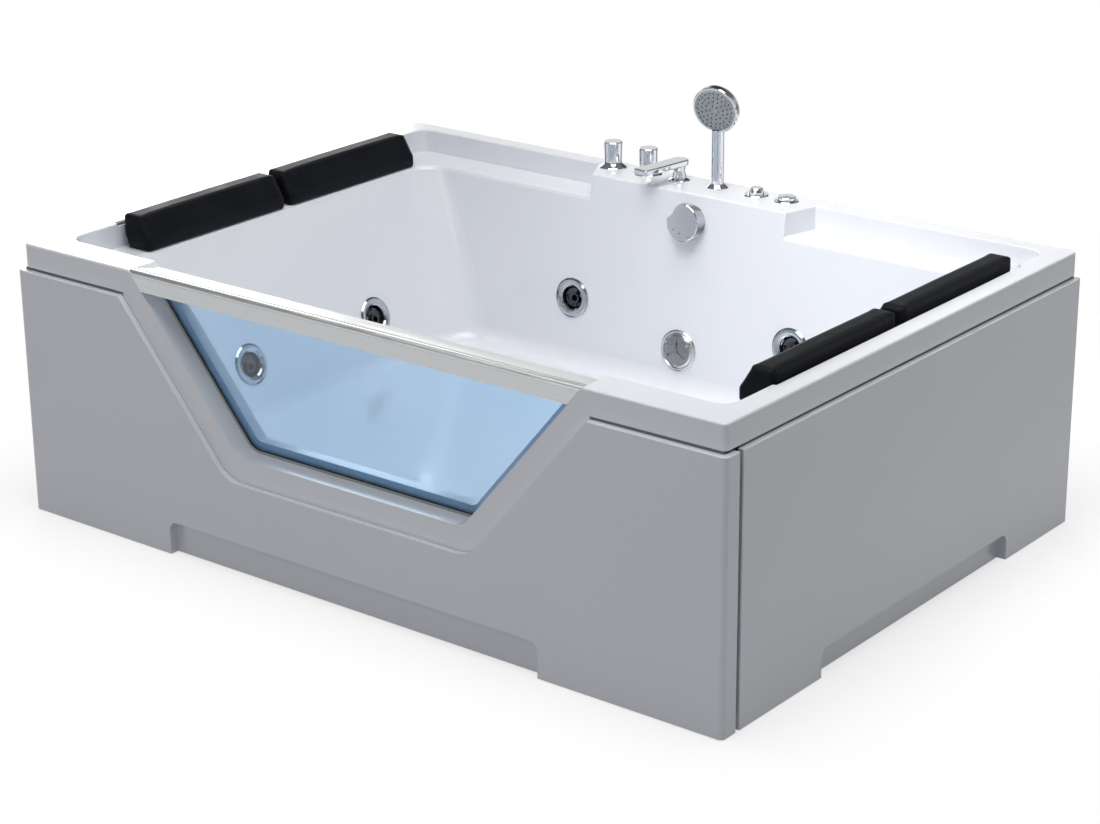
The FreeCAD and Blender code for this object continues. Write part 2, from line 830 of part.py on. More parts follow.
# ---- panels -----------------------------------------------------------------------------------
def front_panel():
    half = rim_half_x + side_panel_proud
    face = front_face_y - front_panel_proud
    lip = face + panel_rim_return
    low = panel_floor_gap
    slab = box(-half, half, face, lip, low, panel_top)
    ends = [box(-half, -half + 14.0, face, face + front_panel_end_depth, low, panel_top),
            box(half - 14.0, half, face, face + front_panel_end_depth, low, panel_top)]
    body = fuse([slab] + ends)
    at_front = lambda e: is_upright(e) and abs(e.BoundBox.YMin - face) < 1e-4
    body = round_edges(body, panel_corner_radius, at_front)
    body = round_edges(body, panel_edge_radius,
                       lambda e: lies_at(e, panel_top) and e.BoundBox.YMax < lip - 1e-3
                       and e.BoundBox.XLength > 100.0)
    inside = box(-half + panel_wall, half - panel_wall, face + panel_wall,
                 face + front_panel_end_depth + above, low - 1, panel_top - panel_wall)
    inside = round_edges(inside, panel_corner_radius - panel_wall,
                         lambda e: is_upright(e)
                         and abs(e.BoundBox.YMin - face - panel_wall) < 1e-4)
    body = body.cut(inside)
    radius = panel_cutout_radius
    ring = window_prism(window_band_width + panel_wall, panel_top, face + 0.5, lip, radius + panel_wall)
    body = body.fuse(ring)
    body = body.cut(window_prism(window_band_width, rim_top, face - above, lip + above, radius))
    wall_back = face + kick_depth + panel_wall
    pocket = kick_block(front_kick_left - panel_wall, front_kick_right + panel_wall,
                        face + panel_wall / 2.0, wall_back, low, front_kick_height + panel_wall,
                        kick_corner_radius + panel_wall)
    recess = kick_block(front_kick_left, front_kick_right, face - above, face + kick_depth,
                        low - 10.0, front_kick_height, kick_corner_radius)
    return body.fuse(pocket).cut(recess).removeSplitter()


def kick_block(x0, x1, y0, y1, z0, z1, radius):
    block = box(x0, x1, y0, y1, z0, z1)
    return round_edges(block, radius, lambda e: runs_along_y(e) and lies_at(e, z1))


def side_panel(side):
    face = rim_half_x + side_panel_proud
    start = front_face_y - front_panel_proud + front_panel_end_depth + panel_corner_gap
    end = rim_half_y
    low = panel_floor_gap
    body = box(face - panel_rim_return, face, start, end, low, panel_top)
    body = round_edges(body, panel_edge_radius,
                       lambda e: (is_upright(e) or e.BoundBox.YLength > 100.0)
                       and abs(e.BoundBox.XMin - face) < 1e-4
                       and not lies_at(e, low))
    inside = box(face - panel_rim_return - above, face - panel_wall, start + panel_wall,
                 end - panel_wall, low - 1, panel_top - panel_wall)
    body = body.cut(inside)
    pocket = box(face - kick_depth - panel_wall, face - panel_wall / 2.0,
                 side_kick_front - panel_wall, side_kick_back + panel_wall,
                 low, side_kick_height + panel_wall)
    recess = box(face - kick_depth, face + above, side_kick_front, side_kick_back,
                 low - 10.0, side_kick_height)
    recess = round_edges(recess, kick_corner_radius,
                         lambda e: e.BoundBox.XLength > 1.0 and e.BoundBox.YLength < 1e-6
                         and lies_at(e, side_kick_height))
    body = body.fuse(pocket).cut(recess).removeSplitter()
    if side < 0:
        body = body.mirror(V(0, 0, 0), V(1, 0, 0))
    return body


# ---- frame ------------------------------------------------------------------------------------
def square_tube(axis, start, end, a, b):
    """Square tube along x, y or z from start to end, its centre line at (a, b) in the other two."""
    h = half_tube
    i = h - tube_wall
    if axis == "x":
        outer = box(start, end, a - h, a + h, b - h, b + h)
        inner = box(start - 1, end + 1, a - i, a + i, b - i, b + i)
    elif axis == "y":
        outer = box(a - h, a + h, start, end, b - h, b + h)
        inner = box(a - i, a + i, start - 1, end + 1, b - i, b + i)
    else:
        outer = box(a - h, a + h, b - h, b + h, start, end)
        inner = box(a - i, a + i, b - i, b + i, start - 1, end + 1)
    return outer.cut(inner)


def feet_places():
    places = []
    for y in (frame_front_y, frame_back_y):
        for x in (-frame_side_x, -cross_positions[2], cross_positions[2], frame_side_x):
            places.append((x, y))
    return places


def base_frame():
    z = tube_bottom + half_tube
    reach = frame_side_x + half_tube
    members = [square_tube("x", -reach, reach, frame_front_y, z),
               square_tube("x", -reach, reach, frame_back_y, z)]
    inner_start = frame_front_y + half_tube
    inner_end = frame_back_y - half_tube
    for x in [-frame_side_x] + cross_positions + [frame_side_x]:
        members.append(square_tube("y", inner_start, inner_end, x, z))
    holes = []
    for x, y in feet_places():
        holes.append(cylinder(foot_stem_radius + foot_stem_clearance, tube_bottom - 1,
                              tube_bottom + tube_wall + 1, x, y))
    drilled = []
    for member in members:
        drilled.append(member.cut(group(holes)))
    return group([solid for piece in drilled for solid in piece.Solids])


def post_places():
    places = []
    for x in (-frame_side_x, -front_post_x, front_post_x, frame_side_x):
        places.append((x, frame_front_y))
    for x in (-frame_side_x, -back_post_x, back_post_x, frame_side_x):
        places.append((x, frame_back_y))
    for y in (side_post_front_y, side_post_back_y):
        for x in (-frame_side_x, frame_side_x):
            places.append((x, y))
    return places


def bracket_places():
    """Each bracket: the face it stands on, its outward direction, and its reach to the panel."""
    places = []
    front_reach = (-front_face_y + front_panel_proud - panel_wall) - (-frame_front_y + half_tube)
    side_reach = (rim_half_x + side_panel_proud - panel_wall) - (frame_side_x + half_tube)
    for z in (bracket_low_z, bracket_high_z):
        for x in (-front_post_x, front_post_x):
            places.append((V(x, frame_front_y - half_tube, z), V(0, -1, 0), front_reach))
        for side in (-1, 1):
            for y in (side_post_front_y, side_post_back_y):
                at = V(side * (frame_side_x + half_tube), y, z)
                places.append((at, V(side, 0, 0), side_reach))
    return places


def frame_posts():
    screws = []
    for place, outward, _ in bracket_places():
        end = place - outward * (tube_wall + 1.0)
        screws.append(rod(tuple(end), tuple(place + outward), screw_radius + screw_clearance))
    posts = []
    for x, y in post_places():
        post = square_tube("z", board_bottom, deck_under, x, y)
        posts.append(post.cut(group(screws)))
    return group([solid for piece in posts for solid in piece.Solids])


def panel_bracket(reach):
    """Z-shaped bracket: foot on the post at z = 0, head against the panel at z = reach."""
    t = bracket_thickness
    w = bracket_width / 2.0
    foot = box(-w, w, -bracket_leg / 2.0, bracket_leg / 2.0, 0, t)
    web = box(-w, w, bracket_leg / 2.0, bracket_leg / 2.0 + t, 0, reach)
    head = box(-w, w, bracket_leg / 2.0 + t, bracket_leg * 1.5 + t, reach - t, reach)
    hole = cylinder(screw_radius + screw_clearance, -1, t + 1)
    return fuse([foot, web, head]).cut(hole)


def panel_brackets():
    made = []
    for place, outward, reach in bracket_places():
        bracket = panel_bracket(reach)
        turn = FreeCAD.Rotation(V(0, 0, 1).cross(outward), V(0, 0, 1), outward, "ZXY")
        bracket.Placement = FreeCAD.Placement(place, turn)
        made.append(bracket)
    return group(made)


def bracket_screws():
    screw = fuse([cylinder(screw_radius, -screw_length, 0.0),
                  hexagon(2 * screw_head_radius, 0.0, screw_head_height)])
    made = []
    for place, outward, _ in bracket_places():
        made.append(aim(screw, place + outward * bracket_thickness, outward))
    return group(made)


def base_board():
    half = basin_floor_half_length - board_margin
    front = basin_front_y + board_margin
    back = basin_floor_back - basin_floor_fillet
    board = box(-half, half, front, back, board_bottom, floor_under)
    hole = cylinder(board_drain_hole_radius, board_bottom - 1, floor_under + 1, drain_x, drain_y)
    return board.cut(hole)


def levelling_feet():
    feet = []
    for x, y in feet_places():
        r = foot_pad_radius
        pad = turned([(0, 0), (r - 1, 0), (r, 1), (r, 5), (9, foot_pad_height), (0, foot_pad_height)])
        pad.translate(V(x, y, 0))
        stem = cylinder(foot_stem_radius, foot_pad_height - 1, tube_bottom + tube_size - 7.0, x, y)
        feet.append(fuse([pad, stem]))
    return group(feet)


def foot_locknuts():
    nuts = []
    for x, y in feet_places():
        nuts.append(nut(foot_nut_flats, foot_stem_radius + running_clearance,
                        tube_bottom - foot_nut_height, tube_bottom, x, y))
    return group(nuts)


# ---- pillows ----------------------------------------------------------------------------------
def rounded_polygon(points, radius, y):
    """Wire in the plane of a y, with each corner of the polygon turned into an arc."""
    count = len(points)
    starts = []
    ends = []
    arcs = []
    for index in range(count):
        corner = V(points[index][0], y, points[index][1])
        before = V(points[index - 1][0], y, points[index - 1][1])
        after = V(points[(index + 1) % count][0], y, points[(index + 1) % count][1])
        to_before = (before - corner).normalize()
        to_after = (after - corner).normalize()
        half_angle = to_before.getAngle(to_after) / 2.0
        reach = radius / math.tan(half_angle)
        first = corner + to_before * reach
        last = corner + to_after * reach
        inward = (to_before + to_after).normalize()
        middle = corner + inward * (radius / math.sin(half_angle) - radius)
        starts.append(first)
        ends.append(last)
        arcs.append(Part.Arc(first, middle, last).toShape())
    edges = []
    for index in range(count):
        edges.append(arcs[index])
        edges.append(Part.makeLine(ends[index], starts[(index + 1) % count]))
    return Part.Wire(edges)


def pillow_outline(inset):
    """Section of a pillow: flat foot, upright front foot, slanted face, flat top strip."""
    low = ledge_z + pillow_seat_gap
    high = low + pillow_height - inset
    front = ledge_half_x - side_ledge_width + inset
    back = front + pillow_front_run + pillow_top_width - 2.0 * inset
    return [(front, low), (back - pillow_back_lean, low), (back, low + pillow_back_rise),
            (back, high), (front + pillow_front_run, high), (front, low + pillow_front_foot)]


def pillow(side, start):
    radius = pillow_corner_radius
    steps = [
        (0.0, pillow_end_inset, radius),
        (pillow_end_length, 0.0, radius + 1.0),
        (pillow_length / 2.0, -pillow_crown, radius + 1.5),
        (pillow_length - pillow_end_length, 0.0, radius + 1.0),
        (pillow_length, pillow_end_inset, radius),
    ]
    sections = []
    for along, inset, corner in steps:
        sections.append(rounded_polygon(pillow_outline(inset), corner, start + along))
    body = Part.makeLoft(sections, True, True)
    low = ledge_z + pillow_seat_gap
    sockets = []
    for x, y in stud_places():
        if x > 0 and start < y < start + pillow_length:
            sockets.append(cylinder(stud_radius + stud_clearance, low - 1,
                                    low + stud_height + 1.0, x, y))
    body = body.cut(group(sockets))
    if side < 0:
        body = body.mirror(V(0, 0, 0), V(1, 0, 0))
    return body


def pillow_studs():
    studs = []
    for x, y in stud_places():
        shank = cylinder(stud_radius, ledge_z - shell_wall - 1, ledge_z + stud_height, x, y)
        head = cylinder(stud_head_radius, ledge_z - shell_wall - stud_head_height,
                        ledge_z - shell_wall, x, y)
        studs.append(fuse([shank, head]))
    return group(studs)


# ---- taps, spout and handset ------------------------------------------------------------------
def tap_flange():
    r = tap_flange_radius
    h = tap_flange_height
    bore = tap_shank_radius + shank_clearance
    profile = [(bore, 0), (r, 0), (r, 1.5), (r - 2, 3.5), (tap_knob_radius + 1.5, h - 2),
               (tap_knob_radius, h), (bore, h)]
    return turned(profile)


def tap_flanges():
    made = []
    for x in (hot_tap_x, cold_tap_x):
        flange = tap_flange()
        flange.translate(V(x, fitting_line_y, rim_top))
        made.append(flange)
    return group(made)


def tap_valve(x):
    """Valve body under the deck, its threaded shank up through the deck, and its inlet tail."""
    low = -shell_wall - tap_shank_depth
    end = low - tap_body_height
    shank = cylinder(tap_shank_radius, low, tap_flange_height - 1.5)
    body = cylinder(tap_body_radius, end, low)
    inlet = cylinder(tap_inlet_radius, end - tap_inlet_length, end)
    valve = fuse([shank, body, inlet])
    valve.translate(V(x, fitting_line_y, rim_top))
    return valve


def tap_valves():
    """Both valves with the cross pipe that leads their water to the spout."""
    low = rim_top - shell_wall - tap_shank_depth
    end = low - tap_body_height
    middle = low - tap_body_height / 2.0
    y = fitting_line_y
    riser_top = rim_top - spout_shank_depth - socket_end_gap
    across = [(hot_tap_x, y, middle), (spout_x, y, middle)]
    cross = pipe_path(across, mixer_pipe_radius)
    riser = cylinder(spout_shank_radius, middle - mixer_pipe_radius, riser_top, spout_x, y)
    solid = fuse([tap_valve(hot_tap_x), tap_valve(cold_tap_x), riser] + cross)
    water = pipe_path(across, mixer_pipe_radius - pipe_wall)
    water.append(cylinder(spout_shank_radius - pipe_wall, middle, riser_top + 1, spout_x, y))
    for x in (hot_tap_x, cold_tap_x):
        water.append(cylinder(tap_inlet_radius - pipe_wall, end - tap_inlet_length - 1, middle,
                              x, y))
        water.append(cylinder(tap_spindle_radius + running_clearance, low + 10.0,
                              rim_top + tap_flange_height + 1, x, y))
    return solid.cut(fuse(water))


def tap_knob(x):
    """Knob with its spindle, which turns in the valve's bore."""
    low = tap_flange_height + tap_knob_gap
    high = low + tap_knob_height
    profile = [(0, low), (tap_knob_radius - 1.0, low), (tap_knob_radius, low + 1.0),
               (tap_knob_top_radius, high - 1.5), (tap_knob_top_radius - 1.5, high), (0, high)]
    spindle = cylinder(tap_spindle_radius, 12.0 - shell_wall - tap_shank_depth, high - 2)
    space = cylinder(tap_knob_radius - knob_wall, low - 1, high - knob_wall)
    knob = fuse([turned(profile).cut(space), spindle])
    knob.translate(V(x, fitting_line_y, rim_top))
    return knob


def deck_flange(bore):
    r = deck_flange_radius
    h = deck_flange_height
    profile = [(bore, 0), (r, 0), (r, 1.5), (r - 2, 3.0), (bore + 4.5, h - 3.0),
               (bore + 3.5, h), (bore, h)]
    return turned(profile)


def spout_base():
    """Deck flange with the threaded nipple in which the spout's shank turns."""
    bore = spout_shank_radius + running_clearance
    nipple = tube(spout_shank_radius + nipple_wall, bore, -nipple_depth, 1.0)
    base = fuse([deck_flange(bore), nipple])
    base.translate(V(spout_x, fitting_line_y, rim_top))
    return base


def spout():
    start = deck_flange_height + seat_gap
    bar_low = spout_rise - spout_bar_thickness
    r = spout_stem_radius
    middle = (start + bar_low) / 2.0
    stem = turned([(0, start), (r, start), (r, start + 2), (spout_waist_radius, middle),
                   (r, bar_low), (r, bar_low + 1), (0, bar_low + 1)])
    half = spout_bar_width / 2.0
    bar = box(-half, half, -spout_reach, spout_overhang, bar_low, spout_rise)
    bar = round_edges(bar, half - 2.0,
                      lambda e: is_upright(e) and e.BoundBox.YMin > 0)
    bar = round_edges(bar, spout_bar_edge,
                      lambda e: is_upright(e) and e.BoundBox.YMin < -spout_reach + 1)
    bar = round_edges(bar, 3.0, lambda e: lies_at(e, spout_rise) or lies_at(e, bar_low))
    shank = cylinder(spout_shank_radius, -spout_shank_depth, start + 1)
    solid = fuse([stem, bar, shank])
    bore = cylinder(spout_shank_radius - 3.0, -spout_shank_depth - 1, bar_low + 4.0)
    channel_low = bar_low + 3.0
    wide = spout_outlet_width / 2.0
    channel = box(-wide, wide, -spout_reach + 8.0, 0.0, channel_low,
                  channel_low + spout_channel_height)
    outlet = box(-wide, wide, -spout_reach + 8.0, -spout_reach + 8.0 + spout_outlet_length,
                 bar_low - 1, channel_low + 1)
    solid = solid.cut(bore).cut(channel).cut(outlet)
    solid.rotate(V(0, 0, 0), V(0, 0, 1), -spout_turn)
    solid.translate(V(spout_x, fitting_line_y, rim_top))
    return solid


def handset_holder():
    """Deck cup: the handle stands in its socket, the hose nut hangs in its bore."""
    bore = hose_nut_radius + hose_nut_clearance
    socket = handle_radius + holder_bore_clearance
    h = deck_flange_height
    step = h - holder_socket_depth
    r = deck_flange_radius
    outer = bore + nipple_wall
    profile = [(bore, -holder_depth), (outer, -holder_depth), (outer, 0), (r, 0), (r, 1.5),
               (r - 2, 3.0), (socket + 3.0, h - 1.0), (socket + 2.0, h), (socket, h),
               (socket, step), (bore, step)]
    cup = turned(profile)
    cup.translate(V(handset_x, fitting_line_y, rim_top))
    return cup


def handle_foot():
    return rim_top + deck_flange_height - holder_socket_depth + seat_gap


def hose_nut():
    top = handle_foot() - 0.1
    low = top - hose_nut_height
    r = hose_nut_radius
    body = turned([(0, low), (r - 3, low), (r, low + 10), (r, top), (0, top)])
    body.translate(V(handset_x, fitting_line_y, 0))
    tail = cylinder(hose_tail_radius, low - hose_tail_length, low + 1, handset_x, fitting_line_y)
    pivot = cylinder(hose_pivot_radius, top - 1, top + hose_pivot_height, handset_x, fitting_line_y)
    water = cylinder(hose_tail_radius - 2.5, low - hose_tail_length - 1,
                     top + hose_pivot_height + 1, handset_x, fitting_line_y)
    return fuse([body, tail, pivot]).cut(water)


def head_frame():
    """Centre of the handset's head and the direction in which its spray face looks."""
    foot = handle_foot() + handle_height
    centre = V(handset_x, fitting_line_y - head_forward, foot + head_lift)
    tilt = math.radians(head_tilt)
    turn = math.radians(head_turn)
    look = V(math.sin(turn) * math.cos(tilt), -math.cos(turn) * math.cos(tilt), -math.sin(tilt))
    return centre, look


def head_profile():
    """Disc with a rounded back, built about Z with the spray face at the top."""
    half = head_thickness / 2.0
    r = head_radius
    return [(0, -half), (r - 16, -half), (r - 6, -half + 2.5), (r - 1.5, -half + 8), (r, 0),
            (r, half - 1.5), (r - 1.5, half), (0, half)]


def handset_body():
    low = handle_foot()
    high = low + handle_height
    r = handle_radius
    handle = turned([(0, low), (r - 1, low), (r, low + 1), (r, high - 2), (r - 2, high), (0, high)])
    neck = turned([(0, high - 1), (neck_radius + 1, high - 1), (neck_radius, high + 5),
                   (neck_radius - 1, high + neck_height - 8), (0, high + neck_height - 8)])
    for piece in (handle, neck):
        piece.translate(V(handset_x, fitting_line_y, 0))
    centre, look = head_frame()
    head = aim(turned(head_profile()), centre, look)
    solid = fuse([handle, neck, head])
    half = head_thickness / 2.0
    seat = aim(cylinder(head_face_radius + head_face_clearance, half - head_face_depth,
                        half + above), centre, look)
    pivot = cylinder(hose_pivot_radius + running_clearance, low - 1,
                     low + hose_pivot_height + 0.6, handset_x, fitting_line_y)
    space = aim(cylinder(head_face_radius - 2.0, knob_wall - half, half), centre, look)
    water = cylinder(neck_radius - knob_wall, low, high + neck_height, handset_x, fitting_line_y)
    return solid.cut(seat).cut(space).cut(pivot).cut(water)


def handset_face():
    half = head_thickness / 2.0
    r = head_face_radius
    plate = turned([(0, half - head_face_depth), (r, half - head_face_depth), (r, half - 0.5),
                    (r - 3, half + 0.8), (0, half + 1.4)])
    holes = []
    for ring_radius, count in spray_rings:
        for step in range(count):
            angle = 2.0 * math.pi * (step + 0.5 * (count % 12 == 0)) / count
            holes.append(cylinder(spray_hole_radius, half - spray_hole_depth, half + above,
                                  ring_radius * math.cos(angle), ring_radius * math.sin(angle)))
    plate = plate.cut(group(holes))
    centre, look = head_frame()
    return aim(plate, centre, look)


def control_ring(x, bore):
    r = control_ring_radius
    h = control_ring_height
    ring = turned([(bore, 0), (r, 0), (r, 1.0), (r - 2.0, h), (bore, h)])
    ring.translate(V(x, fitting_line_y, rim_top))
    return ring


def control_rings():
    return group([control_ring(air_control_x, control_shank_radius + 0.2),
                  control_ring(power_button_x, button_radius + button_clearance)])


def air_control_knob():
    low = control_ring_height + seat_gap
    high = low + air_knob_height
    r = air_knob_radius
    knob = turned([(0, low), (r, low), (r, low + 5), (r - 3, high - 2), (r - 5, high), (0, high)])
    cuts = []
    for step in range(air_grip_count):
        angle = 2.0 * math.pi * step / air_grip_count
        cuts.append(cylinder(6.0, low + 5.0, high + 1, (r + 2.5) * math.cos(angle),
                             (r + 2.5) * math.sin(angle)))
    stem = cylinder(tap_spindle_radius, -24.0, low + 1)
    knob = fuse([knob.cut(group(cuts)), stem])
    knob.translate(V(air_control_x, fitting_line_y, rim_top))
    return knob


def air_control_body():
    """Air valve under the deck: shank, body and the spigot of the air header."""
    shank = cylinder(control_shank_radius, -shell_wall - control_shank_depth, 2.0)
    body = cylinder(air_body_radius, -air_body_depth, -shell_wall - control_shank_depth)
    bore = cylinder(tap_spindle_radius + running_clearance, -26.0, 3.0)
    solid = fuse([shank, body]).cut(bore)
    solid.translate(V(air_control_x, fitting_line_y, rim_top))
    return solid


def power_button():
    low = button_travel + 0.5
    high = low + button_thickness
    r = button_radius
    cap = turned([(0, low), (r, low), (r, high - 1.2), (r - 1.2, high), (0, high + 0.8)])
    stem = cylinder(button_stem_radius, -button_stem_length, low + 1)
    solid = fuse([cap, stem])
    solid.translate(V(power_button_x, fitting_line_y, rim_top))
    return solid


def power_switch_body():
    shank = cylinder(control_shank_radius, -shell_wall - control_shank_depth, 0.0)
    body = cylinder(air_body_radius, -switch_body_depth, -shell_wall - control_shank_depth)
    gland = cylinder(3.5, -switch_body_depth - 14.0, -switch_body_depth)
    bore = cylinder(button_stem_radius + running_clearance, -button_stem_length - button_travel - 2,
                    1.0)
    solid = fuse([shank, body, gland]).cut(bore)
    solid.translate(V(power_button_x, fitting_line_y, rim_top))
    return solid


def deck_locknuts():
    nuts = []
    high = deck_under
    for x, radius in deck_fittings:
        flats = 2.0 * radius + locknut_extra
        nuts.append(nut(flats, radius + running_clearance, high - locknut_height, high,
                        x, fitting_line_y))
    return group(nuts)


# ---- jets, suction and overflow ---------------------------------------------------------------
def jet_ring():
    sleeve = jet_mouth_radius
    inner = sleeve - jet_sleeve_wall
    r = jet_ring_radius
    h = jet_ring_height
    profile = [(inner, -jet_sleeve_depth), (sleeve, -jet_sleeve_depth), (sleeve, 0), (r, 0),
               (r, 1.5), (r - 4, h - 0.5), (r - 9, h), (inner + 3.5, h - 1.5), (inner, h - 4.0)]
    return turned(profile)


def jet_rings():
    return group([aim(jet_ring(), place, inward) for place, inward in wall_fittings()])


def jet_pivot_low():
    return -jet_nozzle_sink - jet_nozzle_height - jet_pivot_length


def jet_body(place, inward):
    """Cup behind the wall with a bearing for the nozzle's stem and a socket for the water."""
    back = -jet_body_depth
    wall_back = -wall_depth(inward)
    bore = jet_mouth_radius + sleeve_clearance
    cup = fuse([cylinder(jet_body_radius, back, wall_back),
                cylinder(jet_flange_radius, wall_back - jet_flange_height, wall_back)])
    space = cylinder(bore, back + 16.0, 1.0)
    bearing = cylinder(jet_pivot_radius + 4.0, back + 2.0, -jet_sleeve_depth - 8.0)
    hole = cylinder(jet_pivot_radius + running_clearance, jet_pivot_low() - 0.4, 1.0)
    at = place - inward * jet_feed_depth
    low = at.z - jet_body_radius - jet_socket_length
    stub = cylinder(drop_pipe_radius + pipe_wall, low, at.z - 4.0, at.x, at.y)
    socket = cylinder(drop_pipe_radius + running_clearance, low - 1, low + jet_socket_length,
                      at.x, at.y)
    water = cylinder(drop_pipe_radius - pipe_wall, low, at.z - jet_mouth_radius + 8.0, at.x, at.y)
    cup = aim(cup, place, inward).fuse(stub).cut(aim(space, place, inward))
    body = cup.cut(socket).cut(water).fuse(aim(bearing, place, inward))
    return body.cut(aim(hole, place, inward)).removeSplitter()


def jet_bodies():
    return group([jet_body(place, inward) for place, inward in wall_fittings()])


def jet_nozzle(place, inward):
    """Turning nozzle: dished disc, off-centre port and a stem in the body's bearing."""
    high = -jet_nozzle_sink
    low = high - jet_nozzle_height
    r = jet_nozzle_radius - 2.0
    disc = turned([(0, low), (r - 5, low), (r, low + 6), (r, high - 4), (r - 3, high - 1),
                   (r - 10, high - 3), (0, high - 3)])
    port = jet_port_radius + jet_port_lip
    lip = cylinder(port, high - 4, high + jet_port_height - 3, jet_port_offset, 0)
    stem = cylinder(jet_pivot_radius, jet_pivot_low(), low + 1)
    bore = cylinder(jet_port_radius - 1.0, high - 9, high + above, jet_port_offset, 0)
    slots = []
    for step in range(3):
        angle = math.radians(60.0 + 120.0 * step)
        slots.append(cylinder(2.6, high - 8, high + 1, 17.0 * math.cos(angle),
                              17.0 * math.sin(angle)))
    solid = fuse([disc, lip, stem]).cut(bore).cut(group(slots))
    return aim(solid, place, inward)


def suction_cover():
    r = suction_radius
    d = suction_dome_radius
    h = suction_rim_height
    top = suction_dome_height
    plate = turned([(0, 0), (r, 0), (r, 1.5), (r - 3, h), (d + 1.5, h), (d, h - 1.2),
                    (d - 1.5, h), (d - 6, top - 1.2), (0, top)])
    cuts = []
    for arm in range(suction_arms):
        angle = 90.0 + 360.0 / suction_arms * arm
        groove = box(2.0, suction_arm_length, -suction_arm_width / 2.0, suction_arm_width / 2.0,
                     top - 3.2, top + 3)
        groove.rotate(V(0, 0, 0), V(0, 0, 1), angle)
        cuts.append(groove)
    for x, y in suction_screw_points():
        cuts.append(cylinder(screw_radius + screw_clearance, -1, top + 2, x, y))
    plate = plate.cut(group(cuts))
    place, inward = suction_place()
    return aim(plate, place, inward)


def suction_screws():
    place, inward = suction_place()
    made = []
    top = suction_dome_height + 0.4
    for x, y in suction_screw_points():
        head = cylinder(screw_head_radius - 1.0, top - 1.2, top + 1.2, x, y)
        shank = cylinder(screw_radius, -16.0, top - 1, x, y)
        made.append(aim(fuse([head, shank]), place, inward))
    return group(made)


def suction_body():
    """Cup that stands through the wall: flange behind it, cover screwed to its front."""
    place, inward = suction_place()
    wall_back = -wall_depth(inward)
    neck_low = -suction_body_depth - suction_neck_length
    cup = cylinder(suction_body_radius, -suction_body_depth, -seat_gap)
    flange = cylinder(jet_flange_radius, wall_back - jet_flange_height, wall_back)
    space = cylinder(suction_mouth_radius, -suction_body_depth + 6.0, 1.0)
    holes = []
    for x, y in suction_screw_points():
        holes.append(cylinder(screw_radius + running_clearance, -17.0, 1.0, x, y))
    neck = cylinder(suction_pipe_radius + pipe_wall, neck_low, -suction_body_depth + 1)
    port = cylinder(suction_pipe_radius - pipe_wall, neck_low - 1, -8.0)
    socket = cylinder(suction_pipe_radius + running_clearance, neck_low - 1,
                      neck_low + suction_neck_length - 2.0)
    cup = fuse([cup, flange, neck]).cut(space).cut(port).cut(socket).cut(group(holes))
    return aim(cup, place, inward)


def overflow_plate():
    r = overflow_plate_radius
    h = overflow_plate_height
    bore = overflow_stem_radius + running_clearance
    plate = turned([(bore, 0), (r, 0), (r, h - 2), (r - 2, h), (bore, h)])
    place, inward = overflow_place()
    return aim(plate, place, inward)


def overflow_knob():
    low = overflow_plate_height + seat_gap
    high = low + overflow_knob_height
    r = overflow_knob_radius
    knob = turned([(0, low), (r - 4, low), (r, low + 4), (r, high - 1.5), (r - 1.5, high), (0, high)])
    flat = box(-r, r, r - overflow_flat, r + 1, low + 9.0, high + 1)
    flat.rotate(V(0, 0, 0), V(0, 0, 1), 40.0)
    space = cylinder(r - overflow_flat - knob_wall, low - 1, high - knob_wall)
    stem = cylinder(overflow_stem_radius, -14.0, high - 2)
    place, inward = overflow_place()
    return aim(fuse([knob.cut(flat).cut(space), stem]), place, inward)


def overflow_body():
    place, inward = overflow_place()
    wall_back = -wall_depth(inward)
    cup = cylinder(overflow_body_radius, -overflow_body_depth, wall_back)
    space = cylinder(overflow_hole_radius - 4.0, -overflow_body_depth + 4.0, 1.0)
    bridge = cylinder(overflow_stem_radius + 4.0, -overflow_body_depth + 3.0, -8.0)
    hole = cylinder(overflow_stem_radius + running_clearance, -16.0, 1.0)
    return aim(fuse([cup.cut(space), bridge]).cut(hole), place, inward)


# ---- waste ------------------------------------------------------------------------------------
def drain_flange():
    r = drain_flange_radius
    throat = drain_throat_radius
    outer = throat + drain_throat_wall
    h = drain_flange_height
    ring = turned([(throat, -drain_throat_depth), (outer, -drain_throat_depth), (outer, 0), (r, 0),
                   (r, 1), (r - 3, h), (plug_radius - 3, h), (throat, h - 2)])
    bars = [box(-throat - 1, throat + 1, -drain_bar_width / 2, drain_bar_width / 2, -14, -8),
            box(-drain_bar_width / 2, drain_bar_width / 2, -throat - 1, throat + 1, -14, -8)]
    hub = cylinder(plug_stem_radius + 3.0, -22, -8)
    guide = cylinder(plug_stem_radius + running_clearance, -30, 0)
    solid = fuse([ring, hub] + bars).cut(guide)
    solid.translate(V(drain_x, drain_y, basin_floor_height))
    return solid


def drain_plug():
    low = drain_flange_height + plug_gap
    r = plug_radius
    cap = turned([(0, low), (r - 1, low), (r, low + 1), (r, low + 3), (r - 6, low + plug_height - 1),
                  (0, low + plug_height)])
    stem = cylinder(plug_stem_radius, low - plug_stem_length, low + 1)
    solid = fuse([cap, stem])
    solid.translate(V(drain_x, drain_y, basin_floor_height))
    return solid


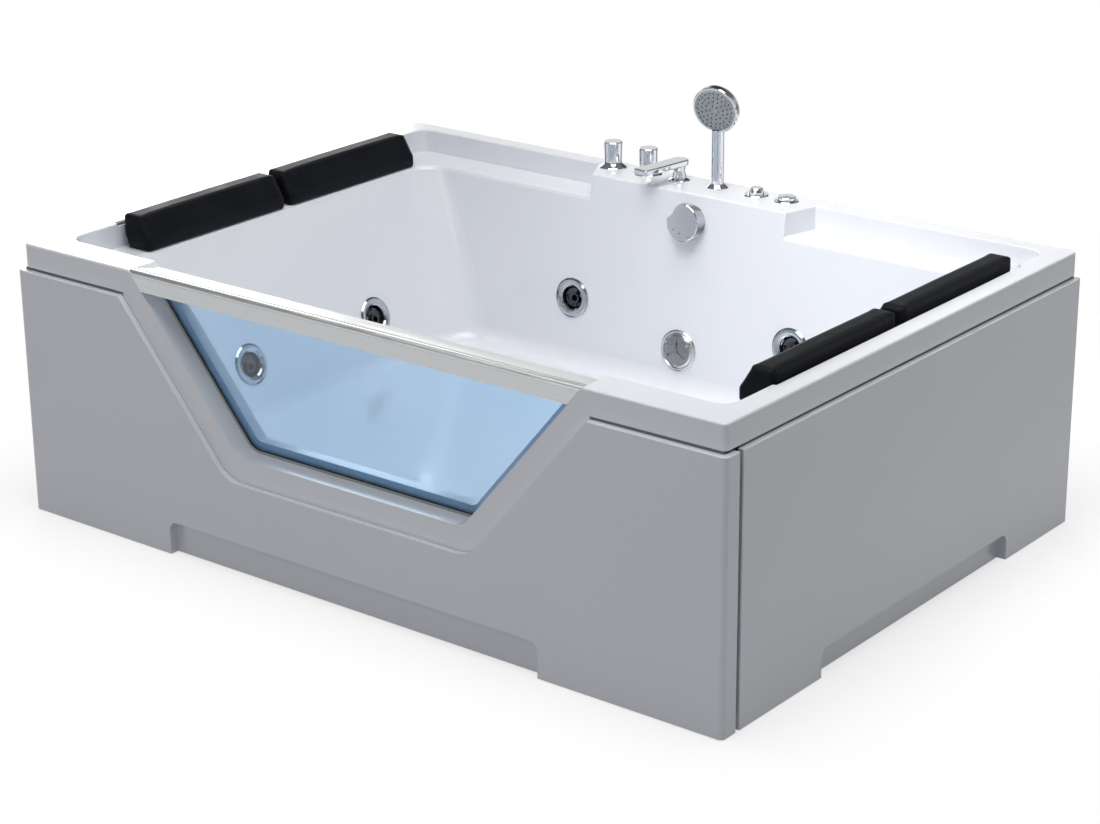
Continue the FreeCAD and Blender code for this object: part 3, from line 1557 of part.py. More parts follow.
def drain_trap():
    """Trap cup under the floor with the waste spigot that runs out to the wall side."""
    top = floor_under
    cup = cylinder(trap_radius, trap_bottom_z, top, drain_x, drain_y)
    end_y = rim_half_y - waste_end_gap
    stop_y = end_y - waste_seat_length
    spigot = rod((drain_x, drain_y, waste_pipe_z), (drain_x, end_y, waste_pipe_z), waste_pipe_radius)
    stop = rod((drain_x, stop_y - waste_stop_width, waste_pipe_z), (drain_x, stop_y, waste_pipe_z),
               waste_stop_radius)
    inlet = rod((drain_x, drain_y, overflow_pipe_z), (drain_x + trap_radius + 8.0, drain_y,
                                                      overflow_pipe_z), overflow_pipe_radius)
    solid = fuse([cup, spigot, stop, inlet])
    bore = drain_throat_radius + drain_throat_wall + drain_thread_clearance
    solid = solid.cut(cylinder(bore, trap_bottom_z + 4.0, top + 1, drain_x, drain_y))
    solid = solid.cut(rod((drain_x, drain_y, waste_pipe_z), (drain_x, end_y + 1, waste_pipe_z),
                          waste_pipe_radius - pipe_wall))
    return solid.cut(rod((drain_x, drain_y, overflow_pipe_z),
                         (drain_x + trap_radius + 9.0, drain_y, overflow_pipe_z),
                         overflow_pipe_radius - pipe_wall))


def overflow_pipe():
    place, inward = overflow_place()
    start = place - inward * overflow_body_depth
    turn = start - inward * overflow_bend_reach
    points = [tuple(start), tuple(turn), (overflow_pipe_x, turn.y, turn.z - 50.0),
              (overflow_pipe_x, overflow_pipe_y, overflow_pipe_z + 200.0),
              (overflow_pipe_x, overflow_pipe_y, overflow_pipe_z),
              (overflow_pipe_x, drain_y, overflow_pipe_z),
              (drain_x + trap_radius + 8.0, drain_y, overflow_pipe_z)]
    return pipes([(points, overflow_pipe_radius)], pipe_wall)


# ---- circulation pipes ------------------------------------------------------------------------
def jet_back_point(place, inward, depth):
    return place - inward * depth


def water_pipes():
    """Ring main under the jets, a drop pipe to each jet and the branch to the pump."""
    back_y = jet_back_point(*wall_fittings()[0], jet_feed_depth).y
    side_x = -jet_back_point(*wall_fittings()[2], jet_feed_depth).x
    z = water_main_z
    end_y = side_jet_front_y - water_main_overrun
    main = [(-side_x, end_y, z), (-side_x, back_y, z), (side_x, back_y, z), (side_x, end_y, z)]
    paths = [(main, water_pipe_radius)]
    for place, inward in wall_fittings():
        at = jet_back_point(place, inward, jet_feed_depth)
        top = at.z - jet_body_radius - socket_end_gap
        paths.append(([(at.x, at.y, z), (at.x, at.y, top)], drop_pipe_radius))
    branch = [(-side_x, volute_y, z), (pump_x + volute_outlet_x, volute_y, z)]
    paths.append((branch, water_pipe_radius - 0.5))
    return pipes(paths, pipe_wall)


def suction_pipe():
    place, inward = suction_place()
    start = place - inward * (suction_body_depth + 2.0 + socket_end_gap)
    end_y = volute_y + volute_width / 2.0 + volute_eye_length
    points = [tuple(start), (start.x, suction_pipe_y, pump_axis_z),
              (pump_x, suction_pipe_y, pump_axis_z), (pump_x, end_y, pump_axis_z)]
    return pipes([(points, suction_pipe_radius)], pipe_wall)


def air_pipes():
    """Air header round three sides, with a riser at each jet and the feed from the control."""
    z = air_header_z
    starts = []
    for place, inward in wall_fittings():
        at = jet_back_point(place, inward, jet_body_depth)
        away = (at - place).normalize()
        if abs(inward.y) > 0.5:
            starts.append((at, at + away * air_elbow_reach))
        else:
            starts.append((at, at + away * (air_riser_reach / abs(away.x))))
    left_end, left_turn = starts[2]
    right_end, right_turn = starts[4]
    header = [tuple(left_end), tuple(left_turn), (left_turn.x, left_turn.y, z),
              (left_turn.x, air_header_y, z), (right_turn.x, air_header_y, z),
              (right_turn.x, right_turn.y, z), tuple(right_turn), tuple(right_end)]
    paths = [(header, air_pipe_radius)]
    branch = air_pipe_radius - 0.5
    for index in (0, 1):
        at, turn = starts[index]
        paths.append(([tuple(at), tuple(turn), (turn.x, turn.y, z), (turn.x, air_header_y, z)],
                      branch))
    for index in (3, 5):
        at, turn = starts[index]
        paths.append(([tuple(at), tuple(turn), (turn.x, turn.y, z)], branch))
    feed = [(air_control_x, fitting_line_y, rim_top - air_body_depth),
            (air_control_x, fitting_line_y, z), (air_control_x, air_header_y, z)]
    paths.append((feed, branch))
    return pipes(paths, air_pipe_wall)


# ---- pump -------------------------------------------------------------------------------------
def pump_place(shape):
    """Stands a shape built about Z on the pump's axis, Z along +Y, from the volute's middle."""
    moved = shape.copy()
    turn = FreeCAD.Rotation(V(1, 0, 0), -90.0)
    moved.Placement = FreeCAD.Placement(V(pump_x, volute_y, pump_axis_z), turn)
    return moved


def pump_volute():
    half = volute_width / 2.0
    outer = fuse([cylinder(volute_radius, -half, half),
                  cylinder(suction_pipe_radius + 6.0, half - 1, half + volute_eye_length)])
    inner = cylinder(volute_radius - volute_wall, -half + volute_wall, half - volute_wall)
    eye = cylinder(suction_pipe_radius - pipe_wall, 0, half + volute_eye_length + 1)
    back = cylinder(shaft_radius + running_clearance, -half - 1, 0)
    solid = pump_place(outer.cut(inner).cut(eye).cut(back))
    start = pump_x + 10.0
    end = pump_x + volute_outlet_x
    neck = rod((start, volute_y, water_main_z), (end, volute_y, water_main_z), water_pipe_radius)
    room = pump_place(cylinder(volute_radius - volute_wall, -half, half))
    solid = fuse([solid, neck.cut(room)])
    hole = rod((start, volute_y, water_main_z), (end + 1, volute_y, water_main_z),
               water_pipe_radius - pipe_wall)
    return solid.cut(hole)


def pump_motor():
    """Motor casing with cooling ribs, slotted fan cover and terminal box."""
    half = volute_width / 2.0
    high = -half
    low = high - motor_length
    core = motor_radius - motor_rib_height
    ribs = []
    for step in range(motor_rib_count):
        rib = box(core - 2.0, motor_radius, -1.5, 1.5, low + 6.0, high - 10.0)
        rib.rotate(V(0, 0, 0), V(0, 0, 1), 360.0 / motor_rib_count * step)
        ribs.append(rib)
    casing = cylinder(core, low, high)
    front = cylinder(motor_radius, high - 12.0, high)
    rear = cylinder(motor_radius, low, low + 8.0)
    casing = fuse([casing, front, rear] + ribs)
    cover_low = low - fan_cover_length
    cover = cylinder(motor_radius, cover_low, low)
    cover = cover.cut(cylinder(motor_radius - fan_cover_wall, cover_low + fan_cover_wall, low + 1))
    slots = []
    for step in range(fan_slot_count):
        slot = box(16.0, 48.0, -2.5, 2.5, cover_low - 1, cover_low + fan_cover_wall + 1)
        slot.rotate(V(0, 0, 0), V(0, 0, 1), 360.0 / fan_slot_count * step)
        slots.append(slot)
    body = pump_place(fuse([casing, cover.cut(group(slots))]))
    body = body.fuse(terminal_box())
    space = cylinder(core - motor_wall, low + 8.0, high - 12.0)
    bore = cylinder(shaft_radius + running_clearance, low - 1, high + 1)
    return body.cut(pump_place(space)).cut(pump_place(bore)).removeSplitter()


def terminal_box():
    size_x, size_y, size_z = terminal_box_size
    back = volute_y - volute_width / 2.0 - 30.0
    front = back - size_y
    low = pump_axis_z + motor_radius - 14.0
    high = pump_axis_z + motor_radius + size_z
    case = box(pump_x - size_x / 2, pump_x + size_x / 2, front, back, low, high)
    case = round_edges(case, 6.0, is_upright)
    middle = high - size_z / 2.0
    gland = rod((pump_x, front + 1, middle), (pump_x, front - 16.0, middle), gland_radius)
    bore = rod((pump_x, front - 10.0, middle), (pump_x, front - 17.0, middle), gland_radius / 2.0)
    return fuse([case, gland]).cut(bore)


def pump_rotor():
    """Shaft with the impeller in the volute and the cooling fan under the cover."""
    half = volute_width / 2.0
    shaft_low = -half - motor_length - fan_cover_length + 8.0
    pieces = [cylinder(shaft_radius, shaft_low, 8.0),
              cylinder(impeller_radius, -10.0, -6.0),
              cylinder(shaft_radius + 6.0, -10.0, 8.0)]
    for step in range(impeller_vanes):
        vane = box(shaft_radius + 4.0, impeller_radius - 1.0, -1.5, 1.5, -8.0,
                   impeller_width - 8.0)
        vane.rotate(V(0, 0, 0), V(0, 0, 1), 360.0 / impeller_vanes * step)
        pieces.append(vane)
    fan_low = shaft_low + 1.0
    fan_high = fan_low + fan_width
    pieces.append(cylinder(shaft_radius + 7.0, fan_low, fan_high))
    for step in range(fan_blades):
        blade = box(shaft_radius + 5.0, fan_radius, -1.2, 1.2, fan_low + 1.0, fan_high - 1.0)
        blade.rotate(V(0, 0, 0), V(0, 0, 1), 360.0 / fan_blades * step)
        pieces.append(blade)
    return pump_place(fuse(pieces))


def pump_base():
    plate_z = board_bottom
    left = -frame_side_x - half_tube + 1.0
    right = cross_positions[0] + half_tube - 2.0
    back = volute_y + volute_width / 2.0
    front = back - volute_width - motor_length - fan_cover_length
    plate = box(left, right, front, back, plate_z, plate_z + pump_plate_thickness)
    pieces = [plate]
    top = plate_z + pump_plate_thickness
    motor_back = volute_y - volute_width / 2.0
    for y in (motor_back - 40.0, motor_back - motor_length + 26.0):
        pieces.append(box(pump_x - 42.0, pump_x + 42.0, y - 14.0, y + 14.0, top - 1,
                          pump_axis_z - 30.0))
    solid = fuse(pieces)
    motor = pump_place(cylinder(motor_radius + 0.1, -volute_width / 2.0 - motor_length, 0))
    return solid.cut(motor)


# ---- write every node -------------------------------------------------------------------------
def build():
    os.makedirs("parts", exist_ok=True)
    save("tub_shell", tub_shell())
    save("window_glass", window_glass())
    save("window_seal", window_seal())
    save("top_rail", top_rail())
    save("front_panel", front_panel())
    save("left_side_panel", side_panel(-1))
    save("right_side_panel", side_panel(1))
    save("base_board", base_board())
    save("base_frame", base_frame())
    save("frame_posts", frame_posts())
    save("panel_brackets", panel_brackets())
    save("bracket_screws", bracket_screws())
    save("levelling_feet", levelling_feet())
    save("foot_locknuts", foot_locknuts())
    for side, side_name in ((-1, "left"), (1, "right")):
        for start, place_name in zip(pillow_starts(), ("front", "back")):
            save("pillow_" + side_name + "_" + place_name, pillow(side, start))
    save("pillow_studs", pillow_studs())
    save("tap_flanges", tap_flanges())
    save("tap_valves", tap_valves())
    save("hot_tap_knob", tap_knob(hot_tap_x))
    save("cold_tap_knob", tap_knob(cold_tap_x))
    save("spout_base", spout_base())
    save("spout", spout())
    save("handset_holder", handset_holder())
    save("hose_nut", hose_nut())
    save("handset_body", handset_body())
    save("handset_face", handset_face())
    save("control_rings", control_rings())
    save("air_control_knob", air_control_knob())
    save("air_control_body", air_control_body())
    save("power_button", power_button())
    save("power_switch_body", power_switch_body())
    save("deck_locknuts", deck_locknuts())
    save("jet_rings", jet_rings())
    save("jet_bodies", jet_bodies())
    for number, (place, inward) in enumerate(wall_fittings(), 1):
        save("jet_nozzle_" + str(number), jet_nozzle(place, inward))
    save("suction_cover", suction_cover())
    save("suction_screws", suction_screws())
    save("suction_body", suction_body())
    save("overflow_plate", overflow_plate())
    save("overflow_knob", overflow_knob())
    save("overflow_body", overflow_body())
    save("overflow_pipe", overflow_pipe())
    save("drain_flange", drain_flange())
    save("drain_plug", drain_plug())
    save("drain_trap", drain_trap())
    save("water_pipes", water_pipes())
    save("suction_pipe", suction_pipe())
    save("air_pipes", air_pipes())
    save("pump_volute", pump_volute())
    save("pump_motor", pump_motor())
    save("pump_rotor", pump_rotor())
    save("pump_base", pump_base())


build()
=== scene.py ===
import bpy
import bmesh
import json
import math
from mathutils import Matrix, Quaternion, Vector


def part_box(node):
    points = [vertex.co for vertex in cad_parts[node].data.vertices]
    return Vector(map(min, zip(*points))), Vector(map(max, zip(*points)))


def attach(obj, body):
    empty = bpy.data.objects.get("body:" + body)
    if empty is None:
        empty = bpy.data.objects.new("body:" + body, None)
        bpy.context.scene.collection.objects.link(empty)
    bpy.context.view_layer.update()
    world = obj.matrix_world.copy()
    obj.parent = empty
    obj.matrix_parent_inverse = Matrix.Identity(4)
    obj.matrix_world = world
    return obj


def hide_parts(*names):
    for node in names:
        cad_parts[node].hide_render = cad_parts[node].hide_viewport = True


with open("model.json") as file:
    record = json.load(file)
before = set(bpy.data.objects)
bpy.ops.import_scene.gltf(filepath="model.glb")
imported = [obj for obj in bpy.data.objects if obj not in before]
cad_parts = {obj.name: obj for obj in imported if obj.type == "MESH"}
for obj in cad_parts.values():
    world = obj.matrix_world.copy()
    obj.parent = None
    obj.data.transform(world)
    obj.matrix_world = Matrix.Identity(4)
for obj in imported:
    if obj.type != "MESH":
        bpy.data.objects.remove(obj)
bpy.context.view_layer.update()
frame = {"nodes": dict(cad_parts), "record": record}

# Jetted bathtub: finishes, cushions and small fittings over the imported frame. Metres.
# +X runs to the right along the front, +Y from the window to the wall side, +Z is up.

NODES = frame["nodes"]

# lean of the basin's walls, as a run per metre of height
END_WALL_LEAN = 0.3653
BACK_WALL_LEAN = 0.1162


# ---- finishes ---------------------------------------------------------------------------------
class Finish:
    """A node material with short ways to add a pattern."""

    def __init__(self, name, colour, roughness, metallic=0.0):
        self.material = bpy.data.materials.new(name)
        self.material.use_nodes = True
        self.tree = self.material.node_tree
        self.shader = self.tree.nodes["Principled BSDF"]
        self.colour = (*colour, 1.0)
        self.set("Base Color", self.colour)
        self.set("Roughness", roughness)
        self.set("Metallic", metallic)
        self.coords = self.tree.nodes.new("ShaderNodeTexCoord").outputs["Object"]

    def set(self, socket, value):
        self.shader.inputs[socket].default_value = value

    def node(self, kind, **inputs):
        made = self.tree.nodes.new(kind)
        for name, value in inputs.items():
            socket = made.inputs[name.replace("_", " ")]
            if hasattr(value, "is_linked"):
                self.tree.links.new(value, socket)
            else:
                socket.default_value = value
        return made

    def link(self, source, socket):
        self.tree.links.new(source, self.shader.inputs[socket])

    def stretched(self, scale):
        mapping = self.node("ShaderNodeMapping", Vector=self.coords)
        mapping.inputs["Scale"].default_value = scale
        return mapping.outputs["Vector"]

    def noise(self, scale, detail=3.0, vector=None, rough=0.5):
        made = self.node("ShaderNodeTexNoise", Vector=vector or self.coords, Scale=scale,
                         Detail=detail, Roughness=rough)
        return made.outputs["Fac"]

    def cells(self, scale, vector=None):
        made = self.node("ShaderNodeTexVoronoi", Vector=vector or self.coords, Scale=scale)
        return made.outputs["Distance"]

    def ramp(self, value, low, high, start=0.3, end=0.7):
        """Turns a grey value into a blend of two colours or two numbers."""
        made = self.tree.nodes.new("ShaderNodeValToRGB")
        made.color_ramp.elements[0].position = start
        made.color_ramp.elements[1].position = end
        made.color_ramp.elements[0].color = self.rgba(low)
        made.color_ramp.elements[1].color = self.rgba(high)
        self.tree.links.new(value, made.inputs["Fac"])
        return made.outputs["Color"]

    def bands(self, value, stops):
        """Turns a grey value into colours through several (position, colour) stops."""
        made = self.tree.nodes.new("ShaderNodeValToRGB")
        elements = made.color_ramp.elements
        while len(elements) < len(stops):
            elements.new(1.0)
        for element, (position, colour) in zip(elements, stops):
            element.position = position
            element.color = self.rgba(colour)
        self.tree.links.new(value, made.inputs["Fac"])
        return made.outputs["Color"]

    def facing(self):
        made = self.node("ShaderNodeLayerWeight", Blend=0.5)
        return made.outputs["Facing"]

    @staticmethod
    def rgba(value):
        if isinstance(value, (int, float)):
            return (value, value, value, 1.0)
        return (*value[:3], 1.0)

    def mix(self, factor, first, second):
        made = self.tree.nodes.new("ShaderNodeMix")
        made.data_type = "RGBA"
        inputs = {socket.identifier: socket for socket in made.inputs}
        outputs = {socket.identifier: socket for socket in made.outputs}
        if hasattr(factor, "is_linked"):
            self.tree.links.new(factor, inputs["Factor_Float"])
        else:
            inputs["Factor_Float"].default_value = factor
        for source, socket in ((first, inputs["A_Color"]), (second, inputs["B_Color"])):
            if hasattr(source, "is_linked"):
                self.tree.links.new(source, socket)
            else:
                socket.default_value = self.rgba(source)
        return outputs["Result_Color"]

    def maths(self, operation, first, second=0.0):
        made = self.tree.nodes.new("ShaderNodeMath")
        made.operation = operation
        for source, socket in ((first, made.inputs[0]), (second, made.inputs[1])):
            if hasattr(source, "is_linked"):
                self.tree.links.new(source, socket)
            else:
                socket.default_value = source
        return made.outputs["Value"]

    def bump(self, height, distance, strength=1.0, under=None):
        made = self.node("ShaderNodeBump", Height=height, Distance=distance, Strength=strength)
        if under is not None:
            self.tree.links.new(under, made.inputs["Normal"])
        self.link(made.outputs["Normal"], "Normal")
        return made.outputs["Normal"]


def shade(colour, factor):
    return tuple(channel * factor for channel in colour[:3])


def polished_acrylic(name, colour, roughness):
    """Vacuum-formed acrylic: clear gloss, very slow waviness and faint dust in the tone."""
    made = Finish(name, colour, roughness)
    slow = made.noise(2.2, 2.0)
    made.link(made.ramp(slow, shade(colour, 0.975), shade(colour, 1.0)), "Base Color")
    made.link(made.ramp(made.noise(34.0, 4.0), roughness * 0.85, roughness * 1.3), "Roughness")
    made.set("Coat Weight", 0.35)
    made.set("Coat Roughness", 0.04)
    made.set("IOR", 1.49)
    made.bump(made.noise(5.0, 1.0), 0.0012, 0.35)
    return made


def shell_acrylic():
    """Glossy white inside; the hidden back shows rolled glass fibre in resin."""
    colour = (0.80, 0.815, 0.86)
    resin_dark, resin_pale = (0.55, 0.53, 0.44), (0.74, 0.73, 0.66)
    # outer faces of the basin: how far they stand out at the level of its floor
    floor_level, end_reach, back_reach = 0.150, 0.5872, 0.4439
    under_floor, ledge_level = 0.1480, 0.5060
    skirt_x, skirt_y = 0.8420, -0.5180

    made = Finish("white acrylic", colour, 0.14)
    split = made.node("ShaderNodeSeparateXYZ", Vector=made.coords)
    x, y, z = split.outputs
    across = made.maths("ABSOLUTE", x)

    def outside(distance, lean, reach):
        height = made.maths("SUBTRACT", z, floor_level)
        wall = made.maths("ADD", made.maths("MULTIPLY", height, lean), reach)
        return made.maths("GREATER_THAN", distance, wall)

    behind = made.maths("MAXIMUM", outside(across, END_WALL_LEAN, end_reach),
                        outside(y, BACK_WALL_LEAN, back_reach))
    behind = made.maths("MULTIPLY", behind, made.maths("LESS_THAN", z, ledge_level))
    within = made.maths("MULTIPLY", made.maths("LESS_THAN", across, skirt_x),
                        made.maths("GREATER_THAN", y, skirt_y))
    behind = made.maths("MULTIPLY", behind, within)
    behind = made.maths("MAXIMUM", behind, made.maths("LESS_THAN", z, under_floor))
    surface = made.node("ShaderNodeNewGeometry")
    turned = made.node("ShaderNodeSeparateXYZ", Vector=surface.outputs["Normal"])
    hanging = made.maths("LESS_THAN", turned.outputs["Z"], -0.7)
    behind = made.maths("MAXIMUM", behind, hanging)

    fibre = made.noise(160.0, 5.0, made.stretched((1.0, 0.35, 1.0)), 0.7)
    resin = made.ramp(fibre, resin_dark, resin_pale, 0.35, 0.65)
    white = made.ramp(made.noise(2.2, 2.0), shade(colour, 0.98), colour)
    made.link(made.mix(behind, white, resin), "Base Color")
    gloss = made.ramp(made.noise(34.0, 4.0), 0.11, 0.18)
    made.link(made.mix(behind, gloss, 0.55), "Roughness")
    made.set("IOR", 1.49)
    made.set("Coat Weight", 0.3)
    made.set("Coat Roughness", 0.04)
    wavy = made.maths("MULTIPLY", made.noise(5.0, 1.0), 0.35)
    made.bump(made.mix(behind, wavy, fibre), 0.0012, 0.5)
    return made


def tinted_glass():
    made = Finish("window glass", (0.50, 0.70, 0.90), 0.0)
    made.link(made.ramp(made.noise(3.0, 1.0), (0.47, 0.68, 0.885), (0.53, 0.72, 0.91)),
              "Base Color")
    made.set("Transmission Weight", 1.0)
    made.set("IOR", 1.5)
    return made


def brushed_metal(name, colour, roughness, along, grain=900.0, front=None):
    """Metal brushed along one axis of the object; ahead of the front plane its colour is mixed
    toward dark grey as painted shade on the front face.
    """
    made = Finish(name, colour, roughness, 1.0)
    scale = [1.0, 1.0, 1.0]
    scale["xyz".index(along)] = 0.012
    lines = made.noise(grain, 4.0, made.stretched(scale), 0.6)
    tone = made.ramp(lines, shade(colour, 0.86), shade(colour, 1.06))
    if front is not None:
        split = made.node("ShaderNodeSeparateXYZ", Vector=made.coords)
        # painted shade: the face ahead of the front plane is darkened, standing in for the
        # lesser light on the rail's front
        ahead = made.maths("LESS_THAN", split.outputs["Y"], front)
        tone = made.mix(made.maths("MULTIPLY", ahead, 0.48), tone, (0.10, 0.12, 0.14))
    made.link(tone, "Base Color")
    made.link(made.ramp(lines, roughness * 0.75, roughness * 1.35), "Roughness")
    made.set("Anisotropic", 0.4)
    made.bump(lines, 0.00008, 0.5)
    return made


def plated(name, colour, roughness, depth=0.16, satin=None):
    """Polished plating: mirror gloss, a painted reflection in the colour as light and dark bands
    by how far the surface turns from the view, faint polishing haze.

    A satin disc is given by its centre and reach."""
    made = Finish(name, colour, roughness, 1.0)
    haze = made.noise(55.0, 5.0)
    # painted reflection: light and dark colour bands by facing angle stand in for the room
    # mirrored in the metal; depth sets how dark the dark bands go
    turning = made.bands(made.facing(), (
        (0.0, shade(colour, 0.72)), (0.22, colour), (0.38, shade(colour, 0.94)),
        (0.50, shade(colour, depth)), (0.60, shade(colour, depth + 0.1)), (0.72, colour),
        (0.86, shade(colour, 0.80)), (0.95, shade(colour, depth))))
    turning = made.mix(made.ramp(haze, 0.0, 0.12), turning, shade(colour, 0.9))
    if satin is not None:
        centre, reach = satin
        away = made.node("ShaderNodeVectorMath", Vector=made.coords)
        away.operation = "DISTANCE"
        away.inputs[1].default_value = centre
        inside = made.maths("LESS_THAN", away.outputs["Value"], reach)
        turning = made.mix(inside, turning, shade(colour, 0.42))
    made.link(turning, "Base Color")
    made.link(made.ramp(haze, roughness * 0.6, roughness * 1.7), "Roughness")
    made.bump(made.noise(420.0, 2.0), 0.00002, 0.35)
    return made


def moulded(name, colour, roughness, grain=700.0, depth=0.00006, spread=0.08):
    """Moulded plastic or rubber with fine spark grain and slight tone changes."""
    made = Finish(name, colour, roughness)
    patches = made.noise(18.0, 4.0)
    made.link(made.ramp(patches, shade(colour, 1.0 - spread), shade(colour, 1.0 + spread)),
              "Base Color")
    fine = made.noise(grain, 3.0)
    made.link(made.ramp(fine, roughness * 0.85, roughness * 1.15), "Roughness")
    made.bump(fine, depth, 0.6)
    return made


def cushion_skin():
    """Near-black polyurethane skin over foam: satin, with a faint pore grain."""
    made = Finish("pillow skin", (0.006, 0.007, 0.010), 0.42)
    pores = made.cells(900.0)
    slow = made.noise(12.0, 3.0)
    made.link(made.ramp(slow, (0.0045, 0.0055, 0.0085), (0.008, 0.009, 0.012)), "Base Color")
    made.link(made.ramp(slow, 0.38, 0.48), "Roughness")
    soft = made.bump(slow, 0.0015, 0.25)
    made.bump(pores, 0.00010, 0.35, soft)
    made.set("Specular IOR Level", 0.5)
    made.set("IOR", 1.18)
    return made


def painted_tube():
    made = Finish("frame paint", (0.055, 0.058, 0.062), 0.38)
    chips = made.noise(45.0, 6.0)
    made.link(made.ramp(chips, (0.05, 0.053, 0.057), (0.075, 0.078, 0.082)), "Base Color")
    made.link(made.ramp(chips, 0.32, 0.5), "Roughness")
    made.bump(made.noise(320.0, 3.0), 0.00012, 0.7)
    return made


def plywood():
    """Board with long grain along X and darker figure lines."""
    made = Finish("plywood", (0.50, 0.36, 0.21), 0.62)
    grain = made.noise(26.0, 6.0, made.stretched((0.6, 7.0, 9.0)), 0.62)
    fine = made.noise(240.0, 3.0, made.stretched((0.05, 1.0, 1.0)))
    figure = made.ramp(grain, (0.40, 0.27, 0.14), (0.62, 0.47, 0.29), 0.38, 0.62)
    made.link(made.mix(made.maths("MULTIPLY", fine, 0.35), figure, (0.30, 0.19, 0.10)),
              "Base Color")
    made.bump(fine, 0.0003, 0.5)
    return made


def brass_metal():
    made = Finish("bare brass", (0.72, 0.53, 0.24), 0.3, 1.0)
    stain = made.noise(60.0, 6.0)
    made.link(made.ramp(stain, (0.55, 0.38, 0.16), (0.78, 0.60, 0.30)), "Base Color")
    made.link(made.ramp(stain, 0.42, 0.24), "Roughness")
    made.bump(made.noise(500.0, 2.0), 0.00006, 0.5)
    return made


def milky_tube():
    made = Finish("milky tube", (0.72, 0.77, 0.78), 0.25)
    made.link(made.ramp(made.noise(80.0, 3.0), (0.66, 0.72, 0.74), (0.78, 0.82, 0.82)),
              "Base Color")
    made.set("Transmission Weight", 0.35)
    made.set("IOR", 1.4)
    return made


acrylic = shell_acrylic().material
# panel acrylic is the shell's white acrylic made darker: painted shade for the upright panels,
# which take less light than the rim
panel_acrylic = polished_acrylic("panel acrylic", (0.755, 0.765, 0.815), 0.2).material
glass = tinted_glass().material
# the rail's front face, ahead of y = -0.5928, carries painted shade
rail_metal = brushed_metal("brushed aluminium", (0.94, 0.955, 0.96), 0.34, "x",
                           front=-0.5928).material
chrome = plated("chrome", (0.84, 0.86, 0.89), 0.06).material
ring_chrome = plated("ring chrome", (0.56, 0.60, 0.63), 0.12, 0.1).material
cover_chrome = plated("cover chrome", (0.80, 0.82, 0.85), 0.2, 0.2,
                      ((0.006, 0.4455, 0.2325), 0.0335)).material
nozzle_plate = plated("chromed plastic", (0.085, 0.092, 0.10), 0.16, 0.1).material
seal_rubber = moulded("grey sealant", (0.34, 0.375, 0.365), 0.4).material
# black bead colour: partly a real dark edge, partly painted shadow at the sealant's inner edge
black_edge_shade = moulded("black rubber", (0.012, 0.013, 0.016), 0.5).material
grey_foam = moulded("grey foam", (0.16, 0.165, 0.175), 0.8).material
spray_face = moulded("grey spray face", (0.30, 0.32, 0.34), 0.42, 500.0).material
spray_rubber = moulded("spray nozzle rubber", (0.055, 0.06, 0.065), 0.55).material
black_plastic = moulded("black moulding", (0.025, 0.026, 0.028), 0.42).material
pipe_plastic = moulded("white pipe", (0.78, 0.78, 0.75), 0.33, 300.0, 0.00005, 0.04).material
zinc = brushed_metal("zinc plate", (0.60, 0.61, 0.60), 0.36, "z", 500.0).material
foot_plastic = moulded("foot moulding", (0.03, 0.03, 0.03), 0.6).material
frame_paint = painted_tube().material
motor_paint = moulded("motor paint", (0.045, 0.07, 0.12), 0.4, 260.0, 0.0001, 0.12).material
board = plywood().material
brass = brass_metal().material
tube_plastic = milky_tube().material
pillow_skin = cushion_skin().material

FINISHES = {
    "acrylic": acrylic, "panel_acrylic": panel_acrylic, "window_glass": glass,
    "seal_rubber": seal_rubber, "rail_aluminium": rail_metal, "pillow": pillow_skin,
    "chrome": chrome, "nozzle_chrome": nozzle_plate, "grey_plastic": spray_face,
    "black_plastic": black_plastic, "pipe_white": pipe_plastic, "clear_tube": tube_plastic,
    "brass": brass, "frame_paint": frame_paint, "bracket_steel": zinc,
    "foot_rubber": foot_plastic, "board": board, "motor_paint": motor_paint,
}

OWN_FINISHES = {"jet_rings": ring_chrome, "suction_cover": cover_chrome}


def dress_frame():
    """Gives every carried-over part its finish by the record's slot."""
    for part in frame["record"]["subparts"]:
        node = NODES[part["node"]]
        node.data.materials.clear()
        finish = OWN_FINISHES.get(part["node"], FINISHES[part["material_slot"]])
        node.data.materials.append(finish)


# ---- shared mesh work -------------------------------------------------------------------------
def ring_mesh(name, rings, closed):
    """Piece skinned over a row of rings of points; the row is closed or has flat ends."""
    mesh = bmesh.new()
    rows = [[mesh.verts.new(point) for point in ring] for ring in rings]
    count = min(len(row) for row in rows)
    pairs = list(zip(rows[:-1], rows[1:])) + ([(rows[-1], rows[0])] if closed else [])
    for first, second in pairs:
        for index in range(count):
            following = (index + 1) % count
            mesh.faces.new((first[index], first[following], second[following], second[index]))
    if not closed:
        mesh.faces.new(list(reversed(rows[0])))
        mesh.faces.new(rows[-1])
    bmesh.ops.recalc_face_normals(mesh, faces=mesh.faces)
    data = bpy.data.meshes.new(name)
    mesh.to_mesh(data)
    mesh.free()
    piece = bpy.data.objects.new(name, data)
    bpy.context.collection.objects.link(piece)
    return piece


def settle(piece):
    """Applies all modifiers of a piece."""
    graph = bpy.context.evaluated_depsgraph_get()
    data = bpy.data.meshes.new_from_object(piece.evaluated_get(graph))
    piece.modifiers.clear()
    old = piece.data
    piece.data = data
    bpy.data.meshes.remove(old)


def smooth(piece, angle=None):
    """Shades a piece smooth; edges that turn by more than the angle stay sharp."""
    for face in piece.data.polygons:
        face.use_smooth = True
    if angle is not None:
        mesh = bmesh.new()
        mesh.from_mesh(piece.data)
        for edge in mesh.edges:
            if len(edge.link_faces) == 2:
                edge.smooth = edge.calc_face_angle() < angle
        mesh.to_mesh(piece.data)
        mesh.free()


